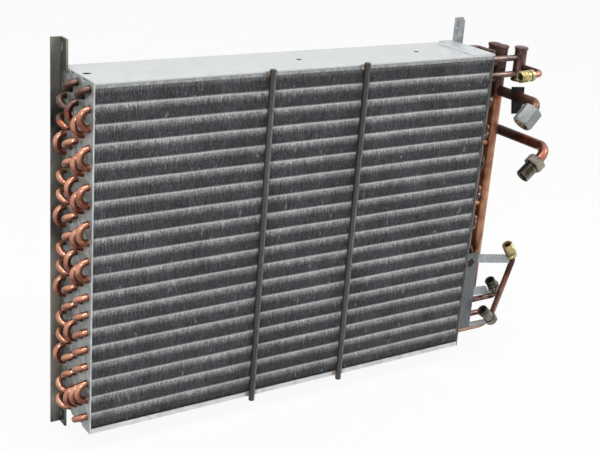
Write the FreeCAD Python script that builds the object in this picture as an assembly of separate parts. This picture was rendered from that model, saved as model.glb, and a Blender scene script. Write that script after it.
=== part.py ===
import FreeCAD, Part
import math
import os

os.makedirs("parts", exist_ok=True)

Vec = FreeCAD.Vector

# Combined refrigerant condenser and oil cooler. Millimetres, +Z up.
# Working axes: X runs along the coil from the outer face of the left tube
# sheet, Y runs from the front of the casing to its back, Z is height.
# Every solid is moved at the end so that the origin lies between the two
# slots of the left mounting bracket.

# Coil pattern
ROWS = 19
COLUMNS = 5
ROW_PITCH = 25.4
COLUMN_PITCH = 19.05
TUBE_OD = 9.52
COIL_LENGTH = 653.4
FIRST_ROW_DROP = 8.5
LAST_ROW_RISE = 7.3
FRONT_MARGIN = 2.5
REAR_MARGIN = 1.75
RIDGE_DEPTH = 3.0
RIDGE_FACETS = 4
BEND_SIDES = 8
BEND_STEPS = 4
PIPE_SIDES = 12
OIL_SIDES = 16
ARC_STEP = 24.0

# Casing sheet metal
SHEET = 2.0
CHANNEL = 1.5
LIP = 6.8
TOP_Z = 28.0
NOTCH_DEPTH = 5.6
NOTCH_WIDTH = 17.0
NOTCH_SLOPE = 6.4
NOTCH_FIRST = 24.0
NOTCH_STEP = 37.0
FOLD_LENGTH = 42.0
FOLD_STEP = 15.0
FOLD_STEP_Y = 85.0
FOLD_R = 1.8
HOLE_R = 1.8
SLOT_STRETCH = 3.6

# Front rods and their welds
ROD_R = 4.5
ROD_X = (254.6, 410.4)
ROD_OVER = 3.0
ROD_UNDER = 5.3
SEAT = 0.3
BEAD = 3.2

# Mounting brackets
ANGLE_LEG = 21.0
ANGLE_BACK = 16.0
ANGLE_T = 3.0
ANGLE_EDGE = 7.0
ANGLE_TOP = 37.7
ANGLE_BOTTOM = 28.3
SLOT_W = 6.2
SLOT_L = 12.5
SLOT_END = 11.7
SLOT_INSET = 7.0

# Headers
HEADER_OD = 19.05
CAP_OD = 21.5
CAP_H = 4.0
CAP_SIDES = 24
MAIN_A = 42.0
MAIN_TOP = 30.6
MAIN_BOTTOM = -380.0
REAR_A = 62.0
REAR_TOP = 25.0
REAR_BOTTOM = -416.0
INLET_A = 64.5
INLET_TOP = 31.0
INLET_BOTTOM = -15.0

# Pipes of the right end
OIL_OD = 15.9
UPPER_Z = -36.0
UPPER_REACH = 61.1
UPPER_DROP = 46.8
UPPER_BEND = 12.0
LOWER_Z = -104.0
LOWER_REACH = 77.8
LOWER_DROP = 40.0
LOWER_BEND = 20.0
INLET_Z = 4.0
INLET_REACH = 40.0
INLET_DROP = 3.0
INLET_BEND = 12.7

# Nuts and fittings
NUT_AF = 28.6
NUT_START = 10.7
NUT_LENGTH = 30.7
NUT_THREAD_R = 11.0
NUT_THREAD_DEPTH = 9.0
NUT_CLEAR = 0.25
SLEEVE_R = 10.0
SLEEVE_LENGTH = 9.0
MALE_AF = 26.5
MALE_START = 24.7
MALE_HEX = 15.0
MALE_LENGTH = 37.4
MALE_R = 11.0
MALE_NECK = 9.6
MALE_BORE = 7.0
FLARE_R = 8.9
FLARE_LENGTH = 26.5
FLARE_START = 20.6
FLARE_BORE = 4.6
MOUTH = 12.0
GROOVE_R = 7.6
GROOVE_AT = 5.5
GROOVE_W = 3.0
OUTLET_START = 6.5
COOLER_AF = 19.05
COOLER_HEX = 9.0
COOLER_R = 8.6
COOLER_BORE = 5.4
COOLER_NUT_R = 14.5
COOLER_NUT_L = 45.0

# Lower pipes: places of the cooler fittings and the outlet bend
F1_REACH = 90.0
F1_BEND = 7.5
F1_SETBACK = 15.6
F1_LENGTH = 23.0
F2_REACH = 52.0
F2_X = 58.3
F2_Y = -14.5
F2_DROP = 5.7
F2_TAIL = 18.4
F2_BEND = 7.5
F2_LENGTH = 35.8
OUTLET_DROP = 10.0
OUT_BEND = 24.0

# Support plate, strap and arms
PLATE_T = 3.0
PLATE_Y = -17.0
STRAP_W = 22.0
STRAP_TOP = -298.0
STRAP_BOTTOM = -431.0
ARM_H = 14.0
ARM_LEAN_REACH = 76.0
ARM_LEAN_Y = -24.0
ARM_TOP_DROP = 4.0
MIDDLE_RISE = 16.0
MIDDLE_END_RISE = 7.0
MIDDLE_SHORT = 4.0
LOW_ARM_H = 7.0
LOW_ARM_SHORT = 1.5
LOW_ARM_DROP = 1.5

# Derived levels
RX = COIL_LENGTH
DEPTH = FRONT_MARGIN + COLUMNS * COLUMN_PITCH + REAR_MARGIN + CHANNEL
FIN_TOP = TOP_Z - CHANNEL
FIN_BOTTOM = FIN_TOP - FIRST_ROW_DROP - (ROWS - 0.5) * ROW_PITCH - LAST_ROW_RISE
BOTTOM_Z = FIN_BOTTOM - CHANNEL
TUBE_R = TUBE_OD / 2


def tube_y(column):
    return FRONT_MARGIN + COLUMN_PITCH * (column + 0.5)


def tube_z(column, row):
    stagger = ROW_PITCH / 2 if column % 2 else 0.0
    return FIN_TOP - FIRST_ROW_DROP - ROW_PITCH * row - stagger


def block(x0, x1, y0, y1, z0, z1):
    return Part.makeBox(x1 - x0, y1 - y0, z1 - z0, Vec(x0, y0, z0))


def rod(start, direction, radius, length):
    return Part.makeCylinder(radius, length, start, direction)


def prism(points, along):
    wire = Part.makePolygon(points + [points[0]])
    return Part.Face(wire).extrude(along)


def ring_points(centre, u, v, radius, sides, offset=0.0):
    points = []
    for index in range(sides):
        angle = 2 * math.pi * (index + offset) / sides
        points.append(centre + u * (radius * math.cos(angle)) + v * (radius * math.sin(angle)))
    return points


def faceted_rod(start, along):
    """Straight tube with the same flat sides as the return bends."""
    axis = Vec(along).normalize()
    u = Vec(0, 0, 1)
    if abs(axis.z) > 0.9:
        u = Vec(1, 0, 0)
    v = axis.cross(u)
    return prism(ring_points(start, u, v, TUBE_R, BEND_SIDES), along)


def return_bend(first, second, side):
    """Half circle between two tube ends on a tube sheet; side is -1 or +1."""
    middle = (first + second) * 0.5
    arm = first - middle
    radius = arm.Length
    arm.normalize()
    out = Vec(side, 0, 0)
    normal = arm.cross(out)
    wires = []
    for step in range(BEND_STEPS + 1):
        angle = math.pi * step / BEND_STEPS
        radial = arm * math.cos(angle) + out * math.sin(angle)
        ring = ring_points(middle + radial * radius, radial, normal, TUBE_R, BEND_SIDES)
        wires.append(Part.makePolygon(ring + [ring[0]]))
    return Part.makeLoft(wires, True, True)


def faceted_pipe(points, radius, bend_radius, sides):
    """Pipe with flat sides through the points, with a stepped arc at each corner."""
    along = (points[1] - points[0]).normalize()
    u = Vec(0, 0, 1)
    if abs(along.z) > 0.9:
        u = Vec(1, 0, 0)
    v = along.cross(u).normalize()
    ring = ring_points(points[0], u, v, radius, sides)
    rings = [ring]
    here = points[0]
    for index in range(1, len(points) - 1):
        corner = points[index]
        back = (here - corner).normalize()
        ahead = (points[index + 1] - corner).normalize()
        half = back.getAngle(ahead) / 2
        setback = bend_radius / math.tan(half)
        start = corner + back * setback
        end = corner + ahead * setback
        ring = [point + (start - here) for point in ring]
        rings.append(ring)
        centre = corner + (back + ahead).normalize() * (bend_radius / math.sin(half))
        axis = (start - centre).cross(end - centre).normalize()
        sweep = 180 - math.degrees(2 * half)
        steps = max(2, math.ceil(sweep / ARC_STEP))
        turn = FreeCAD.Rotation(axis, sweep / steps)
        for _ in range(steps):
            ring = [centre + turn.multVec(point - centre) for point in ring]
            rings.append(ring)
        here = end
    rings.append([point + (points[-1] - here) for point in ring])
    return Part.makeLoft([Part.makePolygon(ring + [ring[0]]) for ring in rings], True, True)


def place(shape, position, direction):
    """Moves a solid built along +Z from the origin to an axis in space."""
    turn = FreeCAD.Rotation(Vec(0, 0, 1), Vec(direction))
    shape.Placement = FreeCAD.Placement(position, turn)
    return shape


def hex_bar(across_flats, z0, z1, chamfer):
    """Hexagon bar with its corners turned off at both ends."""
    corner = across_flats / math.sqrt(3)
    points = []
    for index in range(6):
        angle = math.pi / 3 * index
        points.append(Vec(corner * math.cos(angle), corner * math.sin(angle), z0))
    bar = prism(points, Vec(0, 0, z1 - z0))
    if not chamfer:
        return bar
    flat = across_flats / 2
    return bar.common(turned([
        (0, z0),
        (flat, z0),
        (corner, z0 + chamfer),
        (corner, z1 - chamfer),
        (flat, z1),
        (0, z1),
    ]))


def turned(profile):
    """Solid of revolution about Z from (radius, height) pairs."""
    points = [Vec(radius, 0, height) for radius, height in profile]
    wire = Part.makePolygon(points + [points[0]])
    return Part.Face(wire).revolve(Vec(0, 0, 0), Vec(0, 0, 1), 360)


def group(solids):
    return Part.makeCompound(solids)


# Mount centre between the slots of the left bracket
LEG_FRONT = DEPTH - ANGLE_LEG
SLOT_TOP_Z = TOP_Z + ANGLE_TOP - SLOT_END
SLOT_LOW_Z = BOTTOM_Z - ANGLE_BOTTOM + SLOT_END
SLOT_Y = DEPTH - SLOT_INSET
MOUNT = Vec(-ANGLE_T, SLOT_Y, (SLOT_TOP_Z + SLOT_LOW_Z) / 2)

nodes = {}


def fin_core():
    """Fins expanded on the straight tubes: one block, its front ridged row by row."""
    creases = [FIN_TOP]
    for row in range(1, ROWS):
        creases.append(tube_z(0, row) + ROW_PITCH / 4)
    creases.append(FIN_BOTTOM)
    points = []
    for high, low in zip(creases, creases[1:]):
        half = (high - low) / 2
        radius = (half ** 2 + RIDGE_DEPTH ** 2) / (2 * RIDGE_DEPTH)
        half_angle = math.asin(half / radius)
        for facet in range(RIDGE_FACETS):
            angle = half_angle * (1 - 2 * facet / RIDGE_FACETS)
            y = FRONT_MARGIN + radius * (1 - math.cos(angle))
            points.append(Vec(SHEET, y, high - half + radius * math.sin(angle)))
    back = DEPTH - CHANNEL - REAR_MARGIN / 2
    points.append(Vec(SHEET, FRONT_MARGIN + RIDGE_DEPTH, FIN_BOTTOM))
    points.append(Vec(SHEET, back, FIN_BOTTOM))
    points.append(Vec(SHEET, back, FIN_TOP))
    return prism(points, Vec(RX - 2 * SHEET, 0, 0))


def notched_outline(x):
    """Outline of a tube sheet with two shallow notches in its top and bottom edges."""
    top = [Vec(x, 0, TOP_Z)]
    low = [Vec(x, 0, BOTTOM_Z)]
    for index in range(2):
        y = NOTCH_FIRST + NOTCH_STEP * index
        for edge, z, depth in ((top, TOP_Z, NOTCH_DEPTH), (low, BOTTOM_Z, -NOTCH_DEPTH)):
            edge.append(Vec(x, y, z))
            edge.append(Vec(x, y + NOTCH_SLOPE, z - depth))
            edge.append(Vec(x, y + NOTCH_WIDTH, z))
    top.append(Vec(x, DEPTH, TOP_Z))
    low.append(Vec(x, DEPTH, BOTTOM_Z))
    return top + low[::-1]


def left_tube_sheet():
    return prism(notched_outline(0), Vec(SHEET, 0, 0))


def right_tube_sheet():
    """Plate with a stepped flange folded over the top channel in a rounded bend."""
    plate = block(RX - SHEET, RX, 0, DEPTH, BOTTOM_Z, TOP_Z + SHEET)
    inner = RX - FOLD_LENGTH
    outline = [
        Vec(inner, 0, TOP_Z),
        Vec(RX - SHEET, 0, TOP_Z),
        Vec(RX - SHEET, DEPTH, TOP_Z),
        Vec(inner + FOLD_STEP, DEPTH, TOP_Z),
        Vec(inner + FOLD_STEP, FOLD_STEP_Y, TOP_Z),
        Vec(inner, FOLD_STEP_Y, TOP_Z),
    ]
    fold = prism(outline, Vec(0, 0, SHEET))
    sheet = plate.fuse(fold).removeSplitter()
    bend = [
        edge
        for edge in sheet.Edges
        if edge.CenterOfMass.distanceToPoint(Vec(RX, DEPTH / 2, TOP_Z + SHEET)) < 0.01
    ]
    return sheet.makeFillet(FOLD_R, bend)


def channel_hole(x, y, stretch):
    """Cutter for a small hole in the top web, drawn out along X by stretch."""
    points = ring_points(Vec(x, y, TOP_Z - CHANNEL), Vec(1, 0, 0), Vec(0, 1, 0), HOLE_R, 12, 0.5)
    for point in points:
        point.x += stretch / 2 if point.x > x else -stretch / 2
    return prism(points, Vec(0, 0, CHANNEL))


def channel(top):
    """Shallow U channel between the tube sheets; top says which way it opens."""
    if top:
        web_z = TOP_Z - CHANNEL
        lip_z = TOP_Z - LIP
    else:
        web_z = BOTTOM_Z
        lip_z = BOTTOM_Z
    web = block(SHEET, RX - SHEET, 0, DEPTH, web_z, web_z + CHANNEL)
    front = block(SHEET, RX - SHEET, 0, CHANNEL, lip_z, lip_z + LIP)
    back = block(SHEET, RX - SHEET, DEPTH - CHANNEL, DEPTH, lip_z, lip_z + LIP)
    return web.fuse([front, back]).removeSplitter()


def top_channel():
    middle = DEPTH / 2
    cutters = [channel_hole(SHEET + 10.5, middle, SLOT_STRETCH)]
    for x in (RX / 2 + 4, RX - SHEET - 111):
        cutters.append(channel_hole(x, middle, 0))
    return channel(True).cut(cutters)


def end_point(x, column, row):
    return Vec(x, tube_y(column), tube_z(column, row))


def upright(column, rows):
    return [(column, row, column, row + 1) for row in rows]


def slanted(column, rows):
    return [(column, row, column + 1, row) for row in rows]


LEFT_FRONT = upright(0, (1, 3, 5, 7, 9, 16)) + upright(1, (1, 3, 5, 7, 9, 16))
LEFT_FRONT += slanted(0, (0, 11, 12, 13, 14, 15, 18))
LEFT_REAR = upright(2, (1, 5, 9, 13, 17)) + upright(4, (3, 7, 11, 15))
LEFT_REAR += slanted(2, (0, 3, 4, 7, 8, 11, 12, 15, 16))
LEFT_REAR += slanted(3, (1, 2, 5, 6, 9, 10, 13, 14, 17, 18))
RIGHT_FRONT = upright(0, (2, 4, 6, 8, 10, 12, 14)) + upright(1, (2, 6, 11, 15, 17))
RIGHT_REAR = upright(2, (0, 2, 4, 6, 8, 10, 12, 14, 16))
RIGHT_REAR += upright(3, (2, 4, 6, 8, 10, 12, 14)) + upright(4, (2, 4, 6, 8, 10, 12, 14, 16))
RIGHT_REAR += slanted(2, (18,)) + [(3, 17, 4, 18)]


def bends(pairs, x, side):
    solids = []
    for first_column, first_row, second_column, second_row in pairs:
        first = end_point(x, first_column, first_row)
        second = end_point(x, second_column, second_row)
        solids.append(return_bend(first, second, side))
    return group(solids)


def bracket(right):
    """Slotted angle; its side leg is narrow beside the tubes and wide at the ends."""
    top = TOP_Z + ANGLE_TOP
    low = BOTTOM_Z - ANGLE_BOTTOM
    ear_top = tube_z(4, 0) + TUBE_R + 2.0
    ear_low = BOTTOM_Z
    strip = DEPTH - ANGLE_EDGE
    points = [
        Vec(0, DEPTH, low),
        Vec(0, LEG_FRONT, low),
        Vec(0, LEG_FRONT, ear_low),
        Vec(0, strip, ear_low),
        Vec(0, strip, ear_top),
        Vec(0, LEG_FRONT, ear_top),
        Vec(0, LEG_FRONT, top),
        Vec(0, DEPTH, top),
    ]
    leg = prism(points, Vec(-ANGLE_T, 0, 0))
    back = block(-ANGLE_BACK, -ANGLE_T, DEPTH - ANGLE_T, DEPTH, low, top)
    shape = leg.fuse(back).removeSplitter()
    half = (SLOT_L - SLOT_W) / 2
    cutters = []
    for z in (SLOT_TOP_Z, SLOT_LOW_Z):
        web = block(-ANGLE_T, 0, SLOT_Y - SLOT_W / 2, SLOT_Y + SLOT_W / 2, z - half, z + half)
        ends = [
            rod(Vec(-ANGLE_T, SLOT_Y, z + side * half), Vec(1, 0, 0), SLOT_W / 2, ANGLE_T)
            for side in (-1, 1)
        ]
        cutters.append(web.fuse(ends))
    shape = shape.cut(cutters)
    if right:
        shape = shape.mirror(Vec(RX / 2, 0, 0), Vec(1, 0, 0))
    return shape


def front_rod(x):
    low = BOTTOM_Z - ROD_UNDER
    high = TOP_Z + ROD_OVER
    return rod(Vec(x, SEAT - ROD_R, low), Vec(0, 0, 1), ROD_R, high - low)


def weld_beads():
    """Small fillets between each rod and the channel lips."""
    solids = []
    for x in ROD_X:
        for side in (-1, 1):
            for z, height in ((TOP_Z - LIP / 2, LIP * 0.8), (BOTTOM_Z + LIP / 2, LIP * 0.45)):
                low = z - height / 2
                foot = Vec(x + side * ROD_R * 0.4, 0, low)
                toe = Vec(x + side * (ROD_R + BEAD), 0, low)
                crown = Vec(x + side * ROD_R * 0.87, SEAT - ROD_R * 0.5, low)
                solids.append(prism([foot, toe, crown], Vec(0, 0, height)))
    return group(solids)


def header(a, y, low, high):
    return rod(Vec(RX + a, y, low), Vec(0, 0, 1), HEADER_OD / 2, high - low)


def cap(a, y, z, up):
    """Flat cap brazed on the end of a header."""
    side = 1 if up else -1
    centre = Vec(RX + a, y, z)
    ring = ring_points(centre, Vec(1, 0, 0), Vec(0, 1, 0), CAP_OD / 2, CAP_SIDES)
    return prism(ring, Vec(0, 0, side * CAP_H))


MAIN_Y = tube_y(1)
REAR_Y = tube_y(3)
INLET_Y = tube_y(0)
MAIN_CORE = header(MAIN_A, MAIN_Y, MAIN_BOTTOM, MAIN_TOP)
REAR_CORE = header(REAR_A, REAR_Y, REAR_BOTTOM, REAR_TOP)
INLET_CORE = header(INLET_A, INLET_Y, INLET_BOTTOM, INLET_TOP)


def feeders(column, rows, a, core):
    solids = []
    for row in rows:
        tube = faceted_rod(end_point(RX, column, row), Vec(a, 0, 0))
        solids.append(tube.cut(core).Solids[0])
    return solids


def cross_feeder(row, a, y, core):
    """Tube from the last column that turns forward into the back of a header."""
    start = end_point(RX, 4, row)
    corner = Vec(RX + a, start.y, start.z)
    finish = Vec(RX + a, y, start.z)
    pipe = faceted_pipe([start, corner, finish], TUBE_R, TUBE_OD * 0.85, BEND_SIDES)
    pieces = pipe.cut(core).Solids
    pieces.sort(key=lambda solid: -solid.Volume)
    return pieces[0]


def slope(degrees):
    angle = math.radians(degrees)
    return Vec(-math.cos(angle), 0, -math.sin(angle))


INLET_CORNER = Vec(RX + INLET_A, -INLET_REACH, INLET_Z)
UPPER_CORNER = Vec(RX + MAIN_A, -UPPER_REACH, UPPER_Z)
LOWER_CORNER = Vec(RX + REAR_A, -LOWER_REACH, LOWER_Z)
OIL_R = OIL_OD / 2


def front_pipe(corner, start_y, direction, length, radius, bend_radius, sides, core):
    """Pipe from a header forward to a corner, then along a direction."""
    start = Vec(corner.x, start_y, corner.z)
    finish = corner + direction * length
    pipe = faceted_pipe([start, corner, finish], radius, bend_radius, sides)
    pieces = pipe.cut(core).Solids
    pieces.sort(key=lambda solid: -solid.Volume)
    return pieces[0]


def flare_fitting(corner, start, direction, pipe):
    """Turned fitting with a sealing groove and an open mouth."""
    length = FLARE_LENGTH
    profile = [
        (0, 0),
        (FLARE_R, 0),
        (FLARE_R, GROOVE_AT),
        (GROOVE_R, GROOVE_AT + GROOVE_W / 2),
        (FLARE_R, GROOVE_AT + GROOVE_W),
        (FLARE_R, length),
        (FLARE_BORE, length),
        (FLARE_BORE, length - MOUTH),
        (0, length - MOUTH),
    ]
    return place(turned(profile), corner + direction * start, direction).cut(pipe)


def pipe_stop(start):
    """Distance from a corner at which a pipe ends inside its flare fitting."""
    return start + FLARE_LENGTH - MOUTH


def upper_oil_nut(direction):
    """Swivel nut: clear bore at the pipe, room for the sleeve, threaded mouth."""
    bar = hex_bar(NUT_AF, 0, NUT_LENGTH, 2.0)
    thread = NUT_LENGTH - NUT_THREAD_DEPTH
    room = thread - SLEEVE_LENGTH
    bore = turned([
        (0, 0),
        (OIL_R + NUT_CLEAR, 0),
        (OIL_R + NUT_CLEAR, room),
        (SLEEVE_R + NUT_CLEAR, room),
        (SLEEVE_R + NUT_CLEAR, thread),
        (NUT_THREAD_R, thread),
        (NUT_THREAD_R, NUT_LENGTH),
        (0, NUT_LENGTH),
    ])
    return place(bar.cut(bore), UPPER_CORNER + direction * NUT_START, direction)


def upper_oil_sleeve(direction, pipe):
    """Brazed sleeve on the pipe end that the swivel nut pulls against."""
    thread = NUT_LENGTH - NUT_THREAD_DEPTH
    room = thread - SLEEVE_LENGTH
    profile = [(0, room), (SLEEVE_R, room), (SLEEVE_R, thread), (0, thread)]
    return place(turned(profile), UPPER_CORNER + direction * NUT_START, direction).cut(pipe)


def lower_oil_fitting(direction, pipe):
    bar = hex_bar(MALE_AF, 0, MALE_HEX, 0)
    body = turned([
        (0, MALE_HEX),
        (MALE_NECK, MALE_HEX),
        (MALE_NECK, MALE_HEX + 4),
        (MALE_R, MALE_HEX + 4),
        (MALE_R, MALE_LENGTH),
        (MALE_BORE, MALE_LENGTH),
        (MALE_BORE, MALE_HEX),
    ])
    shape = place(bar.fuse(body), LOWER_CORNER + direction * MALE_START, direction)
    return shape.cut(pipe)


def cooler_fitting(base, direction, length, pipe):
    """Small male fitting: hexagon at the pipe, threaded nose with a bore."""
    bar = hex_bar(COOLER_AF, 0, COOLER_HEX, 0)
    nose = turned([
        (0, COOLER_HEX),
        (COOLER_R, COOLER_HEX),
        (COOLER_R, length),
        (COOLER_BORE, length),
        (COOLER_BORE, COOLER_HEX + 2),
        (0, COOLER_HEX + 2),
    ])
    return place(bar.fuse(nose), base, direction).cut(pipe)


# Cooler pipes leave the front column at rows 16 and 17, the outlet at row 18
F1_DIR = Vec(-0.634, 0, 0.773).normalize()
F1_START = end_point(RX, 0, 16)
F1_CORNER = Vec(RX + F1_REACH, F1_START.y, F1_START.z)
F1_BASE = F1_CORNER + F1_DIR * F1_SETBACK
F2_DIR = Vec(-0.736, 0, 0.677).normalize()
F2_START = end_point(RX, 0, 17)
F2_KNEE = Vec(RX + F2_REACH, F2_START.y, F2_START.z)
F2_BASE = Vec(RX + F2_X, F2_Y, F2_START.z - F2_DROP)
OUT_START = end_point(RX, 0, 18)
OUT_CORNER = Vec(RX + ARM_LEAN_REACH, OUT_START.y, OUT_START.z)
OUT_TOP = Vec(RX + ARM_LEAN_REACH, ARM_LEAN_Y, STRAP_TOP - OUTLET_DROP)
OUT_DIR = Vec(-0.54, 0, 0.84).normalize()


def cooler_pipe_upper():
    finish = F1_BASE + F1_DIR * COOLER_HEX
    return faceted_pipe([F1_START, F1_CORNER, finish], TUBE_R, F1_BEND, PIPE_SIDES)


def cooler_pipe_lower():
    """Runs behind its fitting and turns back up into it in a tight elbow."""
    turn = F2_BASE - F2_DIR * F2_TAIL
    finish = F2_BASE + F2_DIR * COOLER_HEX
    return faceted_pipe([F2_START, F2_KNEE, turn, finish], TUBE_R, F2_BEND, PIPE_SIDES)


def outlet_pipe():
    finish = OUT_TOP + OUT_DIR * pipe_stop(OUTLET_START)
    return faceted_pipe([OUT_START, OUT_CORNER, OUT_TOP, finish], TUBE_R, OUT_BEND, PIPE_SIDES)


def pipe_support(pipe):
    """Dark plate that the upper oil pipe passes through."""
    x = RX + MAIN_A
    points = [
        Vec(x - 13, PLATE_Y, UPPER_Z + 16),
        Vec(x + 12, PLATE_Y, UPPER_Z + 14),
        Vec(x + 14, PLATE_Y, UPPER_Z - 14),
        Vec(x + 4, PLATE_Y, UPPER_Z - 27),
        Vec(x - 6, PLATE_Y, UPPER_Z - 27),
    ]
    plate = prism(points, Vec(0, PLATE_T, 0))
    return plate.cut(pipe)


def strap_plate():
    return block(RX, RX + STRAP_W, 0, PLATE_T, STRAP_BOTTOM, STRAP_TOP)


def mating_nut(base, direction):
    """Room that a nut needs on the thread of a cooler fitting."""
    return rod(base + direction * COOLER_HEX, direction, COOLER_NUT_R, COOLER_NUT_L)


def arm(top, height, finish, cutters):
    """Flat arm from the edge of the strap to finish, the front top corner of its far end."""
    start = Vec(RX + STRAP_W, 0, top)
    across = Vec(0, PLATE_T, 0)
    down = Vec(0, 0, -height)
    section = [start, start + across, start + across + down, start + down]
    pieces = prism(section, finish - start).cut(cutters).Solids
    pieces.sort(key=lambda solid: solid.CenterOfMass.x)
    return pieces[0]


inlet_dir = slope(INLET_DROP)
upper_dir = slope(UPPER_DROP)
lower_dir = slope(LOWER_DROP)

nodes["fin_core"] = fin_core()
nodes["left_tube_sheet"] = left_tube_sheet()
nodes["right_tube_sheet"] = right_tube_sheet()
nodes["top_channel"] = top_channel()
nodes["bottom_channel"] = channel(False)
nodes["left_bends_front"] = bends(LEFT_FRONT, 0, -1)
nodes["left_bends_rear"] = bends(LEFT_REAR, 0, -1)
nodes["right_bends_front"] = bends(RIGHT_FRONT, RX, 1)
nodes["right_bends_rear"] = bends(RIGHT_REAR, RX, 1)
nodes["left_mounting_bracket"] = bracket(False)
nodes["right_mounting_bracket"] = bracket(True)
nodes["front_rod_left"] = front_rod(ROD_X[0])
nodes["front_rod_right"] = front_rod(ROD_X[1])
nodes["rod_weld_beads"] = weld_beads()

nodes["main_header"] = header(MAIN_A, MAIN_Y, MAIN_BOTTOM, MAIN_TOP)
nodes["main_header_caps"] = group([
    cap(MAIN_A, MAIN_Y, MAIN_TOP, True),
    cap(MAIN_A, MAIN_Y, MAIN_BOTTOM, False),
])
nodes["rear_header"] = header(REAR_A, REAR_Y, REAR_BOTTOM, REAR_TOP)
nodes["rear_header_caps"] = group([
    cap(REAR_A, REAR_Y, REAR_TOP, True),
    cap(REAR_A, REAR_Y, REAR_BOTTOM, False),
])
nodes["inlet_header"] = header(INLET_A, INLET_Y, INLET_BOTTOM, INLET_TOP)
nodes["inlet_header_caps"] = group([
    cap(INLET_A, INLET_Y, INLET_TOP, True),
    cap(INLET_A, INLET_Y, INLET_BOTTOM, False),
])
nodes["main_feeders"] = group(feeders(1, (0, 1, 4, 5, 8, 9, 10, 13, 14), MAIN_A, MAIN_CORE))
nodes["rear_feeders"] = group(feeders(3, (0, 1, 16), REAR_A, REAR_CORE))
nodes["inlet_feeders"] = group(feeders(0, (0, 1), INLET_A, INLET_CORE))
nodes["main_cross_feeder"] = cross_feeder(0, MAIN_A, MAIN_Y, MAIN_CORE)
nodes["rear_cross_feeder"] = cross_feeder(1, REAR_A, REAR_Y, REAR_CORE)

upper_pipe = front_pipe(
    UPPER_CORNER, MAIN_Y, upper_dir, NUT_START + NUT_LENGTH - NUT_THREAD_DEPTH,
    OIL_R, UPPER_BEND, OIL_SIDES, MAIN_CORE
)
lower_pipe = front_pipe(
    LOWER_CORNER, REAR_Y, lower_dir, MALE_START + MALE_HEX, OIL_R, LOWER_BEND, OIL_SIDES, REAR_CORE
)
inlet_pipe = front_pipe(
    INLET_CORNER, INLET_Y, inlet_dir, pipe_stop(FLARE_START),
    TUBE_R, INLET_BEND, PIPE_SIDES, INLET_CORE
)
outlet = outlet_pipe()
cooler_upper = cooler_pipe_upper()
cooler_lower = cooler_pipe_lower()
nodes["upper_oil_pipe"] = upper_pipe
nodes["lower_oil_pipe"] = lower_pipe
nodes["inlet_pipe"] = inlet_pipe
nodes["outlet_pipe"] = outlet
nodes["cooler_pipe_upper"] = cooler_upper
nodes["cooler_pipe_lower"] = cooler_lower
nodes["upper_oil_nut"] = upper_oil_nut(upper_dir)
nodes["upper_oil_sleeve"] = upper_oil_sleeve(upper_dir, upper_pipe)
nodes["lower_oil_fitting"] = lower_oil_fitting(lower_dir, lower_pipe)
nodes["inlet_fitting"] = flare_fitting(INLET_CORNER, FLARE_START, inlet_dir, inlet_pipe)
nodes["outlet_fitting"] = flare_fitting(OUT_TOP, OUTLET_START, OUT_DIR, outlet)
nodes["cooler_fitting_upper"] = cooler_fitting(F1_BASE, F1_DIR, F1_LENGTH, cooler_upper)
nodes["cooler_fitting_lower"] = cooler_fitting(F2_BASE, F2_DIR, F2_LENGTH, cooler_lower)
nodes["pipe_support"] = pipe_support(upper_pipe)
nodes["strap_plate"] = strap_plate()
nodes["strap_arm_top"] = arm(
    STRAP_TOP - ARM_TOP_DROP, ARM_H,
    Vec(RX + ARM_LEAN_REACH, ARM_LEAN_Y, STRAP_TOP - ARM_TOP_DROP),
    [outlet, nodes["outlet_fitting"]]
)
nodes["strap_arm_middle"] = arm(
    F1_BASE.z + MIDDLE_RISE, ARM_H,
    Vec(F1_BASE.x - MIDDLE_SHORT, F1_BASE.y - PLATE_T / 2, F1_BASE.z + MIDDLE_END_RISE),
    [cooler_upper, nodes["cooler_fitting_upper"], mating_nut(F1_BASE, F1_DIR)]
)
nodes["strap_arm_bottom"] = arm(
    STRAP_BOTTOM + LOW_ARM_H, LOW_ARM_H,
    Vec(F2_BASE.x - LOW_ARM_SHORT, F2_BASE.y + COOLER_AF / 2 - PLATE_T / 2, F2_BASE.z - LOW_ARM_DROP),
    [cooler_lower, nodes["cooler_fitting_lower"], mating_nut(F2_BASE, F2_DIR)]
)

for name, shape in nodes.items():
    shape.translate(MOUNT * -1)
    shape.exportStep("parts/" + name + ".step")
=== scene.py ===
import logging
import math
from dataclasses import dataclass, replace
from enum import Enum
from typing import Iterable, Optional, Sequence, Union

import bmesh
import bpy
from mathutils import Matrix, Quaternion, Vector


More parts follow.
